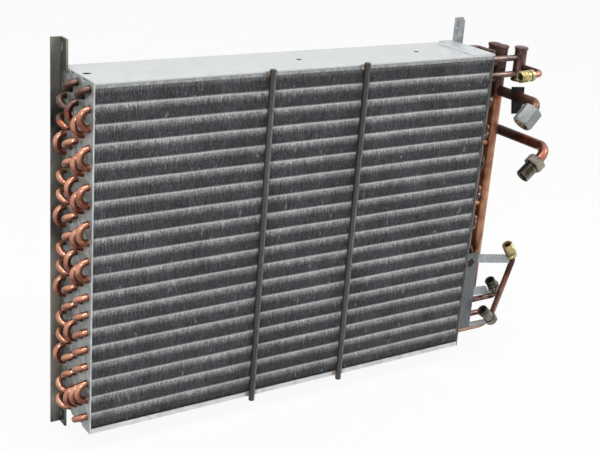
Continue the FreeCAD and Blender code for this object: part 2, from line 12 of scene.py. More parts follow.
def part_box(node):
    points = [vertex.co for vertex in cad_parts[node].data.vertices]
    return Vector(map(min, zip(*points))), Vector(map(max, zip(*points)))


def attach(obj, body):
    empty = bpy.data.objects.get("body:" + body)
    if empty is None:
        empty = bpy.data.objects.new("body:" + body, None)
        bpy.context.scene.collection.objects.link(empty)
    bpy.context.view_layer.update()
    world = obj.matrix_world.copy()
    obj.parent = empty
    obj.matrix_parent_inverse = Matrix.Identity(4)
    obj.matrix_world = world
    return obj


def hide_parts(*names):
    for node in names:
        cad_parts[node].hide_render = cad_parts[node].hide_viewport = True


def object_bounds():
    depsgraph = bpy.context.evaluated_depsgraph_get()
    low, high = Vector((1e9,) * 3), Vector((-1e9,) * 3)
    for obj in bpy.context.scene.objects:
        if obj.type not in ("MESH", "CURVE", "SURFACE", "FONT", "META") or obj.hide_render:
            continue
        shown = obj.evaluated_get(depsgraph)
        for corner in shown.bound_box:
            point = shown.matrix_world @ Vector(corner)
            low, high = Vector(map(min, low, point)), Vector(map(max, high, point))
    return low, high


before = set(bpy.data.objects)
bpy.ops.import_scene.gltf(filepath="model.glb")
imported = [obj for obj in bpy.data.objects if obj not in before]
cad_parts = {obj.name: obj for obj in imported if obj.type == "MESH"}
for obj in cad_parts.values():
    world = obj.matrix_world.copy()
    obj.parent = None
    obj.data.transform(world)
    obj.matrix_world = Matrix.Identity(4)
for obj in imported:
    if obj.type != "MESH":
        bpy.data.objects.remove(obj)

CAD_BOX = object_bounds()
log = logging.getLogger("condenser")

Node = bpy.types.Node
Socket = bpy.types.NodeSocket
Material = bpy.types.Material
Piece = bpy.types.Object
Shell = bmesh.types.BMesh
Triple = tuple[float, float, float]
Span = tuple[float, float]
Profile = Sequence[Span]
Paths = Iterable[Sequence[Vector]]
Pair = tuple[int, int, int, int]  # column and row of one tube, then of another
Seat = tuple[Vector, Vector]  # a point and a direction

MM = 1000  # millimetres in a metre
MID = (0.3, 0.7)  # range that most values of a noise lie in
RISE = (0.0, 1.0)
FALL = (1.0, 0.0)
WHITE = (1, 1, 1)
BLACK = (0, 0, 0)
UP = Vector((0, 0, 1))

# Casing millimetres: distances from the right tube sheet, then heights of pipes at their headers.
MAIN_HEADER = 42.0
REAR_HEADER = 62.0
INLET_HEADER = 64.5
OUTLET_RISER = 76.0
UPPER_OIL_Z = -36.0
LOWER_OIL_Z = -104.0
INLET_Z = 4.0


class End(Enum):
    """The two ends of the coil, with the way its return bends point along X."""

    LEFT = -1
    RIGHT = 1


@dataclass(frozen=True)
class Coil:
    """Tube pattern and casing sizes in millimetres, in the casing's own axes."""

    rows: int = 19
    columns: int = 5
    row_pitch: float = 25.4
    column_pitch: float = 19.05
    tube_r: float = 4.76
    length: float = 653.4
    sheet: float = 2.0
    top: float = 28.0
    fin_top: float = 26.5
    fin_bottom: float = -459.2
    fin_front: float = 2.5
    fin_back: float = 98.6
    first_row: float = 8.5
    ridge: float = 3.0

    def tube(self, x: float, column: int, row: int) -> Vector:
        """Centre of a tube at a place along the coil.

        Args:
            x: Place along the coil.
            column: Column from the front, counted from 0.
            row: Row from the top, counted from 0.

        Returns:
            The point in casing millimetres.
        """
        stagger = self.row_pitch / 2 if column % 2 else 0.0
        y = self.fin_front + self.column_pitch * (column + 0.5)
        return Vector((x, y, self.fin_top - self.first_row - self.row_pitch * row - stagger))

    def depth(self, column: int) -> float:
        """Distance of a column from the front."""
        return self.tube(0, column, 0).y

    def right(self, a: float, y: float, z: float) -> Vector:
        """Point given by its distance from the right tube sheet."""
        return Vector((self.length + a, y, z))

    def creases(self) -> list[float]:
        """Heights of the creases between the fins' ridges, from the top down."""
        between = [self.tube(0, 0, row).z + self.row_pitch / 4 for row in range(1, self.rows)]
        return [self.fin_top, *between, self.fin_bottom]


COIL = Coil()
SHEET_LOW, SHEET_HIGH = (Vector(corner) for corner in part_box("left_tube_sheet"))
CORNER = Vector((SHEET_LOW.x, SHEET_LOW.y, SHEET_HIGH.z - COIL.top / MM))


def metres(point: Sequence[float]) -> Vector:
    """Takes a casing point in millimetres to the frame, in metres."""
    return Vector(point) / MM + CORNER


def slope(degrees: float) -> Vector:
    """Direction back along the coil that dips by an angle."""
    angle = math.radians(degrees)
    return Vector((-math.cos(angle), 0, -math.sin(angle)))


def placed(name: str, data: bpy.types.ID) -> Piece:
    """Puts a mesh, light or camera into the scene.

    Args:
        name: Name of its object.
        data: The mesh, light or camera.

    Returns:
        The object, at the origin.
    """
    piece = bpy.data.objects.new(name, data)
    bpy.context.collection.objects.link(piece)
    return piece


def turning(position: Vector, direction: Vector) -> Matrix:
    """Matrix that takes the Z axis to a direction at a position."""
    turn = UP.rotation_difference(direction)
    return Matrix.Translation(position) @ turn.to_matrix().to_4x4()


def rounded_path(points: Sequence[Vector], radius: float, steps: int = 8) -> list[Vector]:
    """Rounds the corners of a pipe's route.

    Args:
        points: Corners of the route.
        radius: Centre line radius of each bend.
        steps: Parts that each bend is divided into.

    Returns:
        The centre line's points.
    """
    path = [points[0]]
    here = points[0]
    for corner, following in zip(points[1:], points[2:]):
        back = (here - corner).normalized()
        ahead = (following - corner).normalized()
        half = back.angle(ahead) / 2
        setback = radius / math.tan(half)
        start, end = corner + back * setback, corner + ahead * setback
        centre = corner + (back + ahead).normalized() * (radius / math.sin(half))
        axis = (start - centre).cross(end - centre).normalized()
        sweep = math.pi - 2 * half
        for step in range(steps + 1):
            turn = Quaternion(axis, sweep * step / steps)
            path.append(centre + turn @ (start - centre))
        here = end
    return [*path, points[-1]]


def thread(radius: float, low: float, high: float, pitch: float, depth: float) -> Profile:
    """Profile of a thread cut between two heights.

    Args:
        radius: Outer radius.
        low: Height where the thread starts.
        high: Height where it ends.
        pitch: Height of one turn.
        depth: Depth of the cut.

    Returns:
        (radius, height) pairs from low to high.
    """
    count = max(1, int((high - low) / pitch))
    step = (high - low) / count
    turn = ((radius, 0.12), (radius - depth, 0.5), (radius, 0.88))
    return [(r, low + step * index + step * part) for index in range(count) for r, part in turn]


class NodeKit:
    """Short calls that build a shader tree."""

    def __init__(self, tree: bpy.types.NodeTree) -> None:
        """Takes the tree to build in."""
        self.tree = tree

    def feed(self, node: Node, inputs: dict[object, object]) -> None:
        """Links sockets to a node's inputs, or sets plain values on them.

        Args:
            node: The node.
            inputs: Sockets or values by the input's name or number.
        """
        for key, value in inputs.items():
            if isinstance(value, Socket):
                self.tree.links.new(value, node.inputs[key])
            else:
                node.inputs[key].default_value = value

    def add(self, kind: str, inputs: Optional[dict] = None, **settings: object) -> Node:
        """Adds a node, sets its properties and feeds its inputs.

        Args:
            kind: Node type without its prefix.
            inputs: Sockets or values by the input's name or number.
            **settings: Properties of the node.

        Returns:
            The node.
        """
        node = self.tree.nodes.new("ShaderNode" + kind)
        for key, value in settings.items():
            setattr(node, key, value)
        self.feed(node, inputs or {})
        return node

    def math(self, operation: str, *values: object) -> Socket:
        """Math node on sockets or numbers."""
        return self.add("Math", dict(enumerate(values)), operation=operation).outputs[0]

    def seen(self) -> Socket:
        """Tells rays from the camera, off polished metal or through glass from others.

        Returns:
            Socket of one for them and zero for others.
        """
        path = self.add("LightPath").outputs
        metal = self.math("MAXIMUM", path["Is Camera Ray"], path["Is Glossy Ray"])
        return self.math("MAXIMUM", metal, path["Is Transmission Ray"])


class Graph(NodeKit):
    """A material's tree, with what the finishes share."""

    def __init__(self, name: str, metallic: float) -> None:
        """Starts a material with a Principled shader.

        Args:
            name: Name of the material.
            metallic: Share of metal in its look.
        """
        self.material = bpy.data.materials.new(name)
        self.material.use_nodes = True
        super().__init__(self.material.node_tree)
        self.shader = self.tree.nodes["Principled BSDF"]
        self.feed(self.shader, {"Metallic": metallic})
        self.place = self.add("TexCoord").outputs["Object"]

    def noise(self, scale: float, detail: float = 3.0, stretch: Triple = WHITE) -> Socket:
        """Noise on the piece's own metres.

        Args:
            scale: Noise scale per metre.
            detail: Noise detail.
            stretch: Factor on each axis before the noise is read.

        Returns:
            The noise value's socket.
        """
        spot = self.add("Mapping", {"Scale": stretch, "Vector": self.place}).outputs["Vector"]
        node = self.add("TexNoise", {"Scale": scale, "Detail": detail, "Vector": spot})
        return node.outputs["Fac"]

    def cells(self, scale: float) -> Socket:
        """One grey value for each Voronoi cell."""
        cell = self.add("TexVoronoi", {"Scale": scale, "Vector": self.place})
        return self.add("SeparateColor", {"Color": cell.outputs["Color"]}).outputs["Red"]

    def ramp(self, source: Socket, stops: Sequence[tuple[float, Triple]]) -> Socket:
        """Colour ramp.

        Args:
            source: Value that is looked up.
            stops: (place, colour) pairs.

        Returns:
            The colour's socket.
        """
        node = self.add("ValToRGB", {"Fac": source})
        elements = node.color_ramp.elements
        while len(elements) < len(stops):
            elements.new(0.5)
        for element, (place, colour) in zip(elements, stops):
            element.position = place
            element.color = (*colour, 1)
        return node.outputs["Color"]

    def reach(self, source: Socket, span: Span, to: Span = RISE) -> Socket:
        """Maps a range of values to another one, clamped."""
        ends = zip(("From Min", "From Max", "To Min", "To Max"), (*span, *to))
        return self.add("MapRange", {"Value": source, **dict(ends)}).outputs["Result"]

    def mix(self, factor: object, a: object, b: object, blend: str = "MIX") -> Socket:
        """Mixes two colours.

        Args:
            factor: Share of the second colour, a socket or number.
            a: First colour, a socket or three numbers.
            b: Second colour.
            blend: Way of mixing.

        Returns:
            The mixed colour's socket.
        """
        first, second = (c if isinstance(c, Socket) else (*c, 1) for c in (a, b))
        inputs = {0: factor, 6: first, 7: second}
        return self.add("Mix", inputs, data_type="RGBA", blend_type=blend).outputs[2]

    def vector(self, operation: str, a: Socket, b: Sequence[float]) -> Node:
        """Vector math node on a socket and a plain vector."""
        return self.add("VectorMath", {0: a, 1: b}, operation=operation)

    def axis(self, name: str) -> Socket:
        """One coordinate of the piece's own metres."""
        return self.add("SeparateXYZ", {"Vector": self.place}).outputs[name]

    def step(self, axis: str, end: float, fade: float, to: Span = RISE) -> Socket:
        """Step along an axis.

        Args:
            axis: Name of the axis.
            end: Where the step ends, in casing millimetres.
            fade: Length of the step in millimetres.
            to: Values before and after it.

        Returns:
            The value's socket.
        """
        index = "XYZ".index(axis)
        point = Vector()
        point[index] = end
        level = metres(point)[index]
        return self.reach(self.axis(axis), (level - fade / MM, level), to)

    def near(self, centre: Triple, core: float, edge: float, flat: bool = False) -> Socket:
        """Mask around a point.

        Args:
            centre: The point, in casing millimetres.
            core: Radius that the mask is full to.
            edge: Radius where it ends.
            flat: Measures along X and Y only.

        Returns:
            The mask's socket.
        """
        place, spot = self.place, metres(centre)
        if flat:
            place = self.vector("MULTIPLY", place, (1, 1, 0)).outputs["Vector"]
            spot.z = 0
        away = self.vector("DISTANCE", place, spot).outputs["Value"]
        return self.reach(away, (core / MM, edge / MM), FALL)

    def shaded_by_facing(self, colour: Socket, highlight: Triple, amount: float, shade_tint: Triple) -> Socket:
        """Painted shade on the faces turned away from a lit side; the faces turned towards it keep
        a painted highlight.

        Args:
            colour: Colour's socket before the painted shade.
            highlight: Direction, in the piece's own axes, of the faces that keep the painted
                highlight.
            amount: Strength of the painted shade, 0 to 1.
            shade_tint: Factor on the colour where the painted shade is full.

        Returns:
            The shaded colour's socket.
        """
        normal = self.add("TexCoord").outputs["Normal"]
        facing = self.vector("DOT_PRODUCT", normal, Vector(highlight).normalized()).outputs["Value"]
        cloud = self.reach(self.noise(120.0, 4.0), MID, (-0.14, 0.14))
        layer = self.reach(self.math("ADD", facing, cloud), (0.5, 0.98), (amount, 0.0))
        return self.mix(layer, colour, shade_tint, "MULTIPLY")

    def close(self, colour: Socket, rough: object, height: Socket, relief: Span) -> Material:
        """Feeds the shader.

        Args:
            colour: Base colour.
            rough: Roughness, a socket or number.
            height: Height of the bump.
            relief: Depth of the bump in metres and its strength.

        Returns:
            The finished material.
        """
        depth, strength = relief
        bump = self.add("Bump", {"Distance": depth, "Strength": strength, "Height": height})
        normal = bump.outputs["Normal"]
        self.feed(self.shader, {"Base Color": colour, "Roughness": rough, "Normal": normal})
        return self.material


@dataclass(frozen=True)
class SheetFinish:
    """Galvanised sheet: faint crystal spangle, grey drift and fine rolling lines.

    It may carry painted shade below a height, darker still in front of an edge, dark discs of
    painted shade at (x, y) places over its slots, a rust stain around a point, or a painted
    highlight along its front edge. Places are in casing millimetres, and a pair of colours runs
    from dark to light.
    """

    name: str
    light: Triple
    dark: Triple
    metallic: float = 0.3
    rough: float = 0.42
    mottle: float = 0.5
    spangle: float = 105.0
    # Painted shade below this height, in colours mixed by noise.
    shaded_below: Optional[float] = None
    shade_colours: tuple[Triple, Triple] = ((0.20, 0.205, 0.21), (0.42, 0.43, 0.44))
    # Painted shade, darker still, along the front edge up to this depth.
    edge: float = 0.0
    edge_shade: tuple[Triple, Triple] = ((0.03, 0.028, 0.025), (0.26, 0.24, 0.22))
    # The next three fields paint a highlight along the front edge: whether, how deep, and its
    # colours.
    painted_rim: bool = False
    rim_depth: float = 0.7
    cut: tuple[Triple, Triple] = ((0.30, 0.31, 0.31), (0.86, 0.87, 0.88))
    # Dark discs of painted shade over the slots at these places.
    shaded_holes: tuple[Span, ...] = ()
    hole_shade: Triple = (0.012, 0.012, 0.014)
    stain: Optional[Triple] = None
    rust: tuple[Triple, Triple] = ((0.004, 0.003, 0.003), (0.045, 0.014, 0.006))

    def build(self) -> Material:
        """Builds the finish.

        Returns:
            The material.
        """
        graph = Graph(self.name, self.metallic)
        cells = graph.cells(self.spangle)
        drift = graph.math("MULTIPLY", graph.noise(14.0, 4.0), 0.55)
        both = graph.math("ADD", graph.math("MULTIPLY", cells, 0.45), drift)
        half = 0.5 * self.mottle
        colour = graph.mix(graph.reach(both, (0.5 - half, 0.5 + half)), self.dark, self.light)
        # Painted shade on the faces below the height, such as a front lip or a side face.
        if self.shaded_below is not None:
            painted_shade = graph.mix(graph.reach(graph.noise(160.0, 4.0), MID), *self.shade_colours)
            # Darker painted shade along the front edge.
            if self.edge:
                edge_shading = graph.mix(graph.noise(420.0, 4.0), *self.edge_shade)
                painted_shade = graph.mix(graph.step("Y", self.edge, 1.0, FALL), painted_shade, edge_shading)
            colour = graph.mix(graph.step("Z", self.shaded_below, 0.8), painted_shade, colour)
        # Painted highlight along the front edge.
        if self.painted_rim:
            highlight = graph.mix(graph.noise(90.0, 4.0), *self.cut)
            colour = graph.mix(graph.step("Y", self.rim_depth, 0.2, (0.85, 0.0)), colour, highlight)
        # Dark discs of painted shade over the slots.
        for x, y in self.shaded_holes:
            colour = graph.mix(graph.near((x, y, 0), 4.0, 4.5, flat=True), colour, self.hole_shade)
        if self.stain is not None:
            spread = graph.near(self.stain, 2.0, 11.0)
            ragged = graph.math("ADD", spread, graph.noise(260.0, 4.0))
            rust = graph.mix(graph.reach(graph.noise(500.0), (0.4, 0.65)), *self.rust)
            colour = graph.mix(graph.reach(ragged, (0.85, 1.05)), colour, rust)
        rough = graph.reach(cells, RISE, (self.rough - 0.06, self.rough + 0.1))
        return graph.close(colour, rough, graph.noise(900.0, 2.0, (0.06, 1, 1)), (0.00004, 0.4))


@dataclass(frozen=True)
class Scorch:
    """A place darkened by the torch: its centre, core and edge radius in casing millimetres."""

    centre: Triple
    core: float
    edge: float

    @classmethod
    def beside(cls, a: float, y: float, z: float, core: float, edge: float) -> "Scorch":
        """Scorch whose centre is given by its distance from the right tube sheet."""
        return cls(tuple(COIL.right(a, y, z)), core, edge)


@dataclass(frozen=True)
class CopperFinish:
    """Drawn copper with painted shade on faces turned from a lit side, and heat colours around its
    brazed joints.

    It may be scorched at points, or smoked above a height: smoke is that height and the length
    over which it starts, and lean raises the line towards the front.
    """

    name: str
    bright: Triple
    dull: Triple
    rough: float = 0.3
    metallic: float = 0.8
    scorches: tuple[Scorch, ...] = ()
    smoke: Optional[Span] = None
    lean: float = 0.0
    scale: Triple = (0.15, 0.088, 0.072)
    residue: float = 0.0
    residue_size: float = 230.0
    residue_colour: Triple = (0.34, 0.31, 0.31)
    # The next three fields paint shade on the faces turned away from a lit side and leave a painted
    # highlight on those facing it.
    lit_side: Triple = (0.15, -0.7, 0.7)
    side_shade: float = 0.7
    shade_tint: Triple = (0.24, 0.15, 0.13)
    heat_colours: tuple[tuple[float, Triple], ...] = (
        (0.0, (1.0, 1.0, 1.0)),
        (0.35, (0.80, 0.50, 0.42)),
        (0.6, (0.42, 0.24, 0.27)),
        (1.0, (0.17, 0.14, 0.13)),
    )

    def build(self) -> Material:
        """Builds the finish.

        Returns:
            The material.
        """
        graph = Graph(self.name, self.metallic)
        cloud = graph.reach(graph.noise(60.0, 4.0), (0.38, 0.64))
        streak = graph.noise(260.0)
        copper = graph.mix(cloud, self.bright, self.dull)
        rough = graph.reach(streak, MID, (self.rough - 0.05, self.rough + 0.1))
        heat = self.heat(graph)
        if heat is not None:
            hot = graph.mix(1.0, copper, graph.ramp(heat, self.heat_colours), "MULTIPLY")
            copper = graph.mix(graph.reach(heat, (0.45, 0.95)), hot, self.scale)
            rough = graph.math("ADD", rough, graph.math("MULTIPLY", heat, 0.25))
        if self.residue:
            lumps = graph.noise(self.residue_size, 5.0)
            specks = graph.reach(lumps, (0.56, 0.68), (0.0, self.residue))
            copper = graph.mix(specks, copper, self.residue_colour)
        # Painted shade on the faces turned away from the lit side, painted highlight on those
        # facing it.
        copper = graph.shaded_by_facing(copper, self.lit_side, self.side_shade, self.shade_tint)
        return graph.close(copper, rough, streak, (0.00008, 0.35))

    def heat(self, graph: Graph) -> Optional[Socket]:
        """Heat mask from 0, bright, to 1, black, broken up by noise.

        Args:
            graph: The material's graph.

        Returns:
            The mask's socket, or None where nothing was heated.
        """
        masks = [graph.near(scorch.centre, scorch.core, scorch.edge) for scorch in self.scorches]
        if self.smoke:
            start, blend = self.smoke
            level = metres((0, 0, start)).z + metres((0, 0, 0)).y * self.lean
            leaning = graph.math("MULTIPLY", graph.axis("Y"), self.lean)
            height = graph.math("ADD", graph.axis("Z"), leaning)
            masks.append(graph.reach(height, (level - blend / MM, level)))
        if not masks:
            return None
        total = masks[0]
        for mask in masks[1:]:
            total = graph.math("MAXIMUM", total, mask)
        broken = graph.math("ADD", total, graph.reach(graph.noise(95.0), MID, (-0.22, 0.14)))
        return graph.reach(graph.math("MULTIPLY", broken, total), RISE)


@dataclass(frozen=True)
class MetalFinish:
    """Turned, plated or painted metal with fine scratches, cloudy wear and, where a lit side is
    given, painted shade.
    """

    name: str
    light: Triple
    dark: Triple
    metallic: float
    rough: float
    grain: float = 320.0
    stretch: Triple = WHITE
    gloss: float = 0.5
    # The next three fields paint shade on the faces turned away from a lit side, when one is given.
    lit_side: Optional[Triple] = None
    side_shade: float = 0.8
    shade_tint: Triple = (0.16, 0.15, 0.15)
    burn: Optional[Scorch] = None
    soot: Triple = (0.018, 0.017, 0.015)

    def build(self) -> Material:
        """Builds the finish.

        Returns:
            The material.
        """
        graph = Graph(self.name, self.metallic)
        graph.feed(graph.shader, {"Specular IOR Level": self.gloss})
        cloud = graph.noise(self.grain * 0.25, 4.0, self.stretch)
        fine = graph.noise(self.grain * 2.5, 2.0, self.stretch)
        colour = graph.mix(graph.reach(cloud, (0.32, 0.68)), self.dark, self.light)
        # Painted shade on the faces turned away from the lit side.
        if self.lit_side is not None:
            colour = graph.shaded_by_facing(colour, self.lit_side, self.side_shade, self.shade_tint)
        if self.burn is not None:
            black = graph.near(self.burn.centre, self.burn.core, self.burn.edge)
            colour = graph.mix(black, colour, self.soot)
        rough = graph.reach(fine, MID, (self.rough - 0.07, self.rough + 0.1))
        return graph.close(colour, rough, fine, (0.00006, 0.4))


@dataclass(frozen=True)
class FinFinish:
    """Fin edges: a painted highlight line at each crease that soon fades to painted shade in dull
    grey, and painted shade on the fin tops.
    """

    name: str = "fin_edges"
    line: Triple = (0.92, 0.93, 0.94)
    middle: Triple = (0.58, 0.585, 0.59)
    soft: Triple = (0.35, 0.353, 0.357)
    low: Triple = (0.138, 0.142, 0.15)
    shaded: Triple = (0.004, 0.004, 0.004)

    def build(self) -> Material:
        """Builds the finish.

        Returns:
            The material.
        """
        graph = Graph(self.name, 0.35)
        crease = metres((0, 0, COIL.creases()[1])).z
        below = graph.math("SUBTRACT", graph.axis("Z"), crease)
        rise = graph.math("MULTIPLY", below, -MM / COIL.row_pitch)
        sway = graph.reach(graph.noise(9.0, 2.0), MID, (-0.015, 0.015))
        phase = graph.math("FRACT", graph.math("ADD", graph.math("ADD", rise, sway), 4.0))
        line, soft, low = self.line, self.soft, self.low
        # The ramp paints a highlight at each crease and shade below it.
        stops = ((0.0, line), (0.045, line), (0.11, self.middle), (0.24, soft))
        band = graph.ramp(phase, (*stops, (0.42, low), (0.90, low), (0.975, soft), (1.0, line)))
        patches = graph.reach(graph.noise(26.0, 5.0, (1, 1, 0.7)), (0.3, 0.75), (0.8, 1.2))
        streaks = graph.reach(graph.noise(430.0, 2.0, (1, 0.1, 0.12)), MID, (0.68, 1.36))
        grit = graph.reach(graph.noise(520.0, 2.0, (1, 0.1, 0.8)), (0.32, 0.68), (0.58, 1.56))
        uneven = graph.math("MULTIPLY", graph.math("MULTIPLY", patches, streaks), grit)
        streaked_band = graph.add("VectorMath", {0: band, "Scale": uneven}, operation="SCALE")
        fade = ((0.06, (0.7, 0.7, 0.7)), (0.12, BLACK), (0.95, BLACK))
        crest = graph.ramp(phase, ((0.0, WHITE), *fade, (1.0, WHITE)))
        colour = graph.mix(crest, streaked_band.outputs["Vector"], band)
        flecks = graph.reach(graph.noise(150.0, 2.0, (1, 0.1, 0.4)), (0.69, 0.73), (0.0, 0.6))
        colour = graph.mix(flecks, colour, self.middle)
        colour = graph.mix(graph.step("Z", COIL.fin_top - 0.2, 1.0), colour, self.shaded)
        return graph.close(colour, 0.5, graph.noise(500.0, 2.0), (0.0001, 0.3))


Finish = Union[SheetFinish, CopperFinish, MetalFinish, FinFinish]
Dress = tuple[Finish, str]  # a finish and its slot

FINS = FinFinish()
# Block behind the fin edges: the band pattern in darker colours, painted shade for the depth
# between the fins.
FIN_DEPTH_SHADE = FinFinish(
    "fin_depth_shade", line=(0.34, 0.345, 0.35), middle=(0.20, 0.203, 0.207), soft=(0.11, 0.112, 0.115),
    low=(0.045, 0.047, 0.052),
)
LEG = CopperFinish("leg_copper", (0.62, 0.33, 0.24), (0.55, 0.27, 0.18))
# Left bends: painted shade on the faces turned away from the upper left front, painted highlight on
# those facing it.
BEND = CopperFinish(
    "bend_copper", (0.80, 0.40, 0.265), (0.52, 0.22, 0.135), 0.17, metallic=0.75, residue=0.12,
    smoke=(22.0, 22.0), lean=0.72, scale=(0.20, 0.125, 0.10), lit_side=(-0.55, -0.5, 0.66),
    side_shade=0.98,
)
# Right bends: the same painted shade, turned towards the upper right front.
FAR_BEND = replace(BEND, name="bend_copper_right", lit_side=(0.55, -0.5, 0.66))
# Right front bends: dark heat colour, with pale specks that stand for solder spots and painted
# glints.
BURNT_BEND = CopperFinish(
    "burnt_bends", (0.13, 0.08, 0.065), (0.035, 0.027, 0.025), 0.24, residue=0.95,
    residue_size=105.0, residue_colour=(0.88, 0.86, 0.85), side_shade=0.2,
)
HEADER = CopperFinish(
    "header_copper", (0.80, 0.425, 0.25), (0.38, 0.18, 0.10), smoke=(-30.0, 45.0),
    scale=(0.20, 0.118, 0.098), residue=0.3,
)
BROWN_HEADER = CopperFinish(
    "scorched_header", (0.37, 0.24, 0.205), (0.12, 0.083, 0.076), 0.32, residue=0.6
)
UPPER_OIL = CopperFinish(
    "upper_oil_copper", (0.42, 0.20, 0.15), (0.17, 0.12, 0.08), 0.32, residue=0.2,
    scorches=(Scorch.beside(MAIN_HEADER, 20.0, UPPER_OIL_Z, 30.0, 70.0),),
)
LOWER_OIL = CopperFinish(
    "lower_oil_copper", (0.58, 0.24, 0.165), (0.26, 0.12, 0.085), 0.26, residue=0.15,
    scorches=(Scorch.beside(REAR_HEADER, 25.0, LOWER_OIL_Z, 20.0, 130.0),),
)
INLET = CopperFinish(
    "inlet_copper", (0.62, 0.29, 0.20), (0.36, 0.17, 0.12), residue=0.2,
    scorches=(Scorch.beside(INLET_HEADER, 2.0, INLET_Z, 22.0, 52.0),),
)
OUTLET = CopperFinish(
    "outlet_copper", (0.60, 0.40, 0.32), (0.30, 0.19, 0.15), 0.22,
    scorches=(Scorch.beside(OUTLET_RISER, -24.0, -306.0, 10.0, 95.0),),
)
COOLER = CopperFinish("cooler_copper", (0.34, 0.21, 0.17), (0.10, 0.065, 0.055), 0.2, residue=0.15)
DRAIN = CopperFinish("drain_copper", (0.52, 0.30, 0.24), (0.27, 0.16, 0.13), residue=0.2)
SOLDER = MetalFinish("solder", (0.74, 0.73, 0.71), (0.30, 0.27, 0.25), 0.9, 0.25, grain=600.0)
# Rods: painted shade on their left sides, lighter right sides.
ROD = MetalFinish(
    "rod_zinc", (0.25, 0.252, 0.257), (0.13, 0.131, 0.134), 0.6, 0.4, grain=120.0,
    stretch=(1, 1, 0.1), lit_side=(0.75, -0.65, 0.0),
)
BEAD = MetalFinish("rusty_bead", (0.60, 0.48, 0.36), (0.09, 0.05, 0.035), 0.3, 0.55, grain=1300.0)
# Faces inside the bores: painted shade.
BORE = MetalFinish("bore_shade", (0.10, 0.075, 0.055), (0.03, 0.024, 0.02), 0.5, 0.5)
ZINC = MetalFinish("nut_zinc", (0.31, 0.33, 0.32), (0.21, 0.226, 0.22), 0.35, 0.45, gloss=0.3)
BRONZE = MetalFinish("dull_bronze", (0.36, 0.28, 0.19), (0.16, 0.13, 0.095), 0.8, 0.38)
CUT_BRONZE = MetalFinish("thread_bronze", (0.52, 0.40, 0.26), (0.14, 0.10, 0.06), 0.85, 0.3)
# Painted shade on the hex faces turned away from the lower front right.
PHOSPHATED = MetalFinish(
    "phosphated_steel", (0.55, 0.50, 0.41), (0.21, 0.17, 0.12), 0.85, 0.26,
    lit_side=(0.35, -0.85, -0.35), side_shade=0.95,
)
BRASS = MetalFinish("turned_brass", (0.62, 0.53, 0.27), (0.30, 0.24, 0.10), 0.95, 0.28)
SEAL = MetalFinish("seal_green", (0.05, 0.11, 0.06), (0.025, 0.06, 0.03), 0.0, 0.45)
STEEL = MetalFinish("steel", (0.27, 0.255, 0.21), (0.08, 0.076, 0.06), 0.75, 0.32)


@dataclass(frozen=True)
class TreePlan:
    """Plan of a Geometry Nodes tree whose result is realised and painted at the end.

    Inputs are (name, type) pairs next to Geometry and Material, nodes have their types by key,
    and each wire goes from one "node.socket" to another, where "given" is the tree's input.
    """

    name: str
    inputs: tuple[tuple[str, str], ...]
    nodes: dict[str, str]
    wires: tuple[str, ...]

    def build(self) -> bpy.types.NodeTree:
        """Builds the tree.

        Returns:
            The tree.
        """
        tree = bpy.data.node_groups.new(self.name, "GeometryNodeTree")
        sockets = (("Geometry", "Geometry"), *self.inputs, ("Material", "Material"))
        for label, kind in sockets:
            tree.interface.new_socket(label, in_out="INPUT", socket_type="NodeSocket" + kind)
        tree.interface.new_socket("Geometry", in_out="OUTPUT", socket_type="NodeSocketGeometry")
        nodes = tree.nodes
        made = {"given": nodes.new("NodeGroupInput"), "result": nodes.new("NodeGroupOutput")}
        kinds = {**self.nodes, "real": "RealizeInstances", "paint": "SetMaterial"}
        for key, kind in kinds.items():
            made[key] = nodes.new("GeometryNode" + kind)
            made[key].name = key
        ending = (
            "real.Geometry > paint.Geometry",
            "given.Material > paint.Material",
            "paint.Geometry > result.Geometry",
        )
        for wire in (*self.wires, *ending):
            (source, output), (target, socket) = (end.split(".") for end in wire.split(" > "))
            tree.links.new(made[source].outputs[output], made[target].inputs[socket])
        return tree


TUBE_RUNS = TreePlan(
    "tube_runs",
    (("Radius", "Float"), ("Sides", "Int")),
    {"curve": "MeshToCurve", "circle": "CurvePrimitiveCircle", "sweep": "CurveToMesh",
     "smooth": "SetShadeSmooth"},
    (
        "given.Geometry > curve.Mesh",
        "given.Sides > circle.Resolution",
        "given.Radius > circle.Radius",
        "curve.Curve > sweep.Curve",
        "circle.Curve > sweep.Profile Curve",
        "sweep.Mesh > smooth.Geometry",
        "smooth.Geometry > real.Geometry",
    ),
)
PLATE_STACK = TreePlan(
    "plate_stack",
    (("Count", "Int"), ("Pitch", "Vector")),
    {"line": "MeshLine", "spread": "InstanceOnPoints"},
    (
        "given.Count > line.Count",
        "given.Pitch > line.Offset",
        "line.Mesh > spread.Points",
        "given.Geometry > spread.Instance",
        "spread.Instances > real.Geometry",
    ),
)


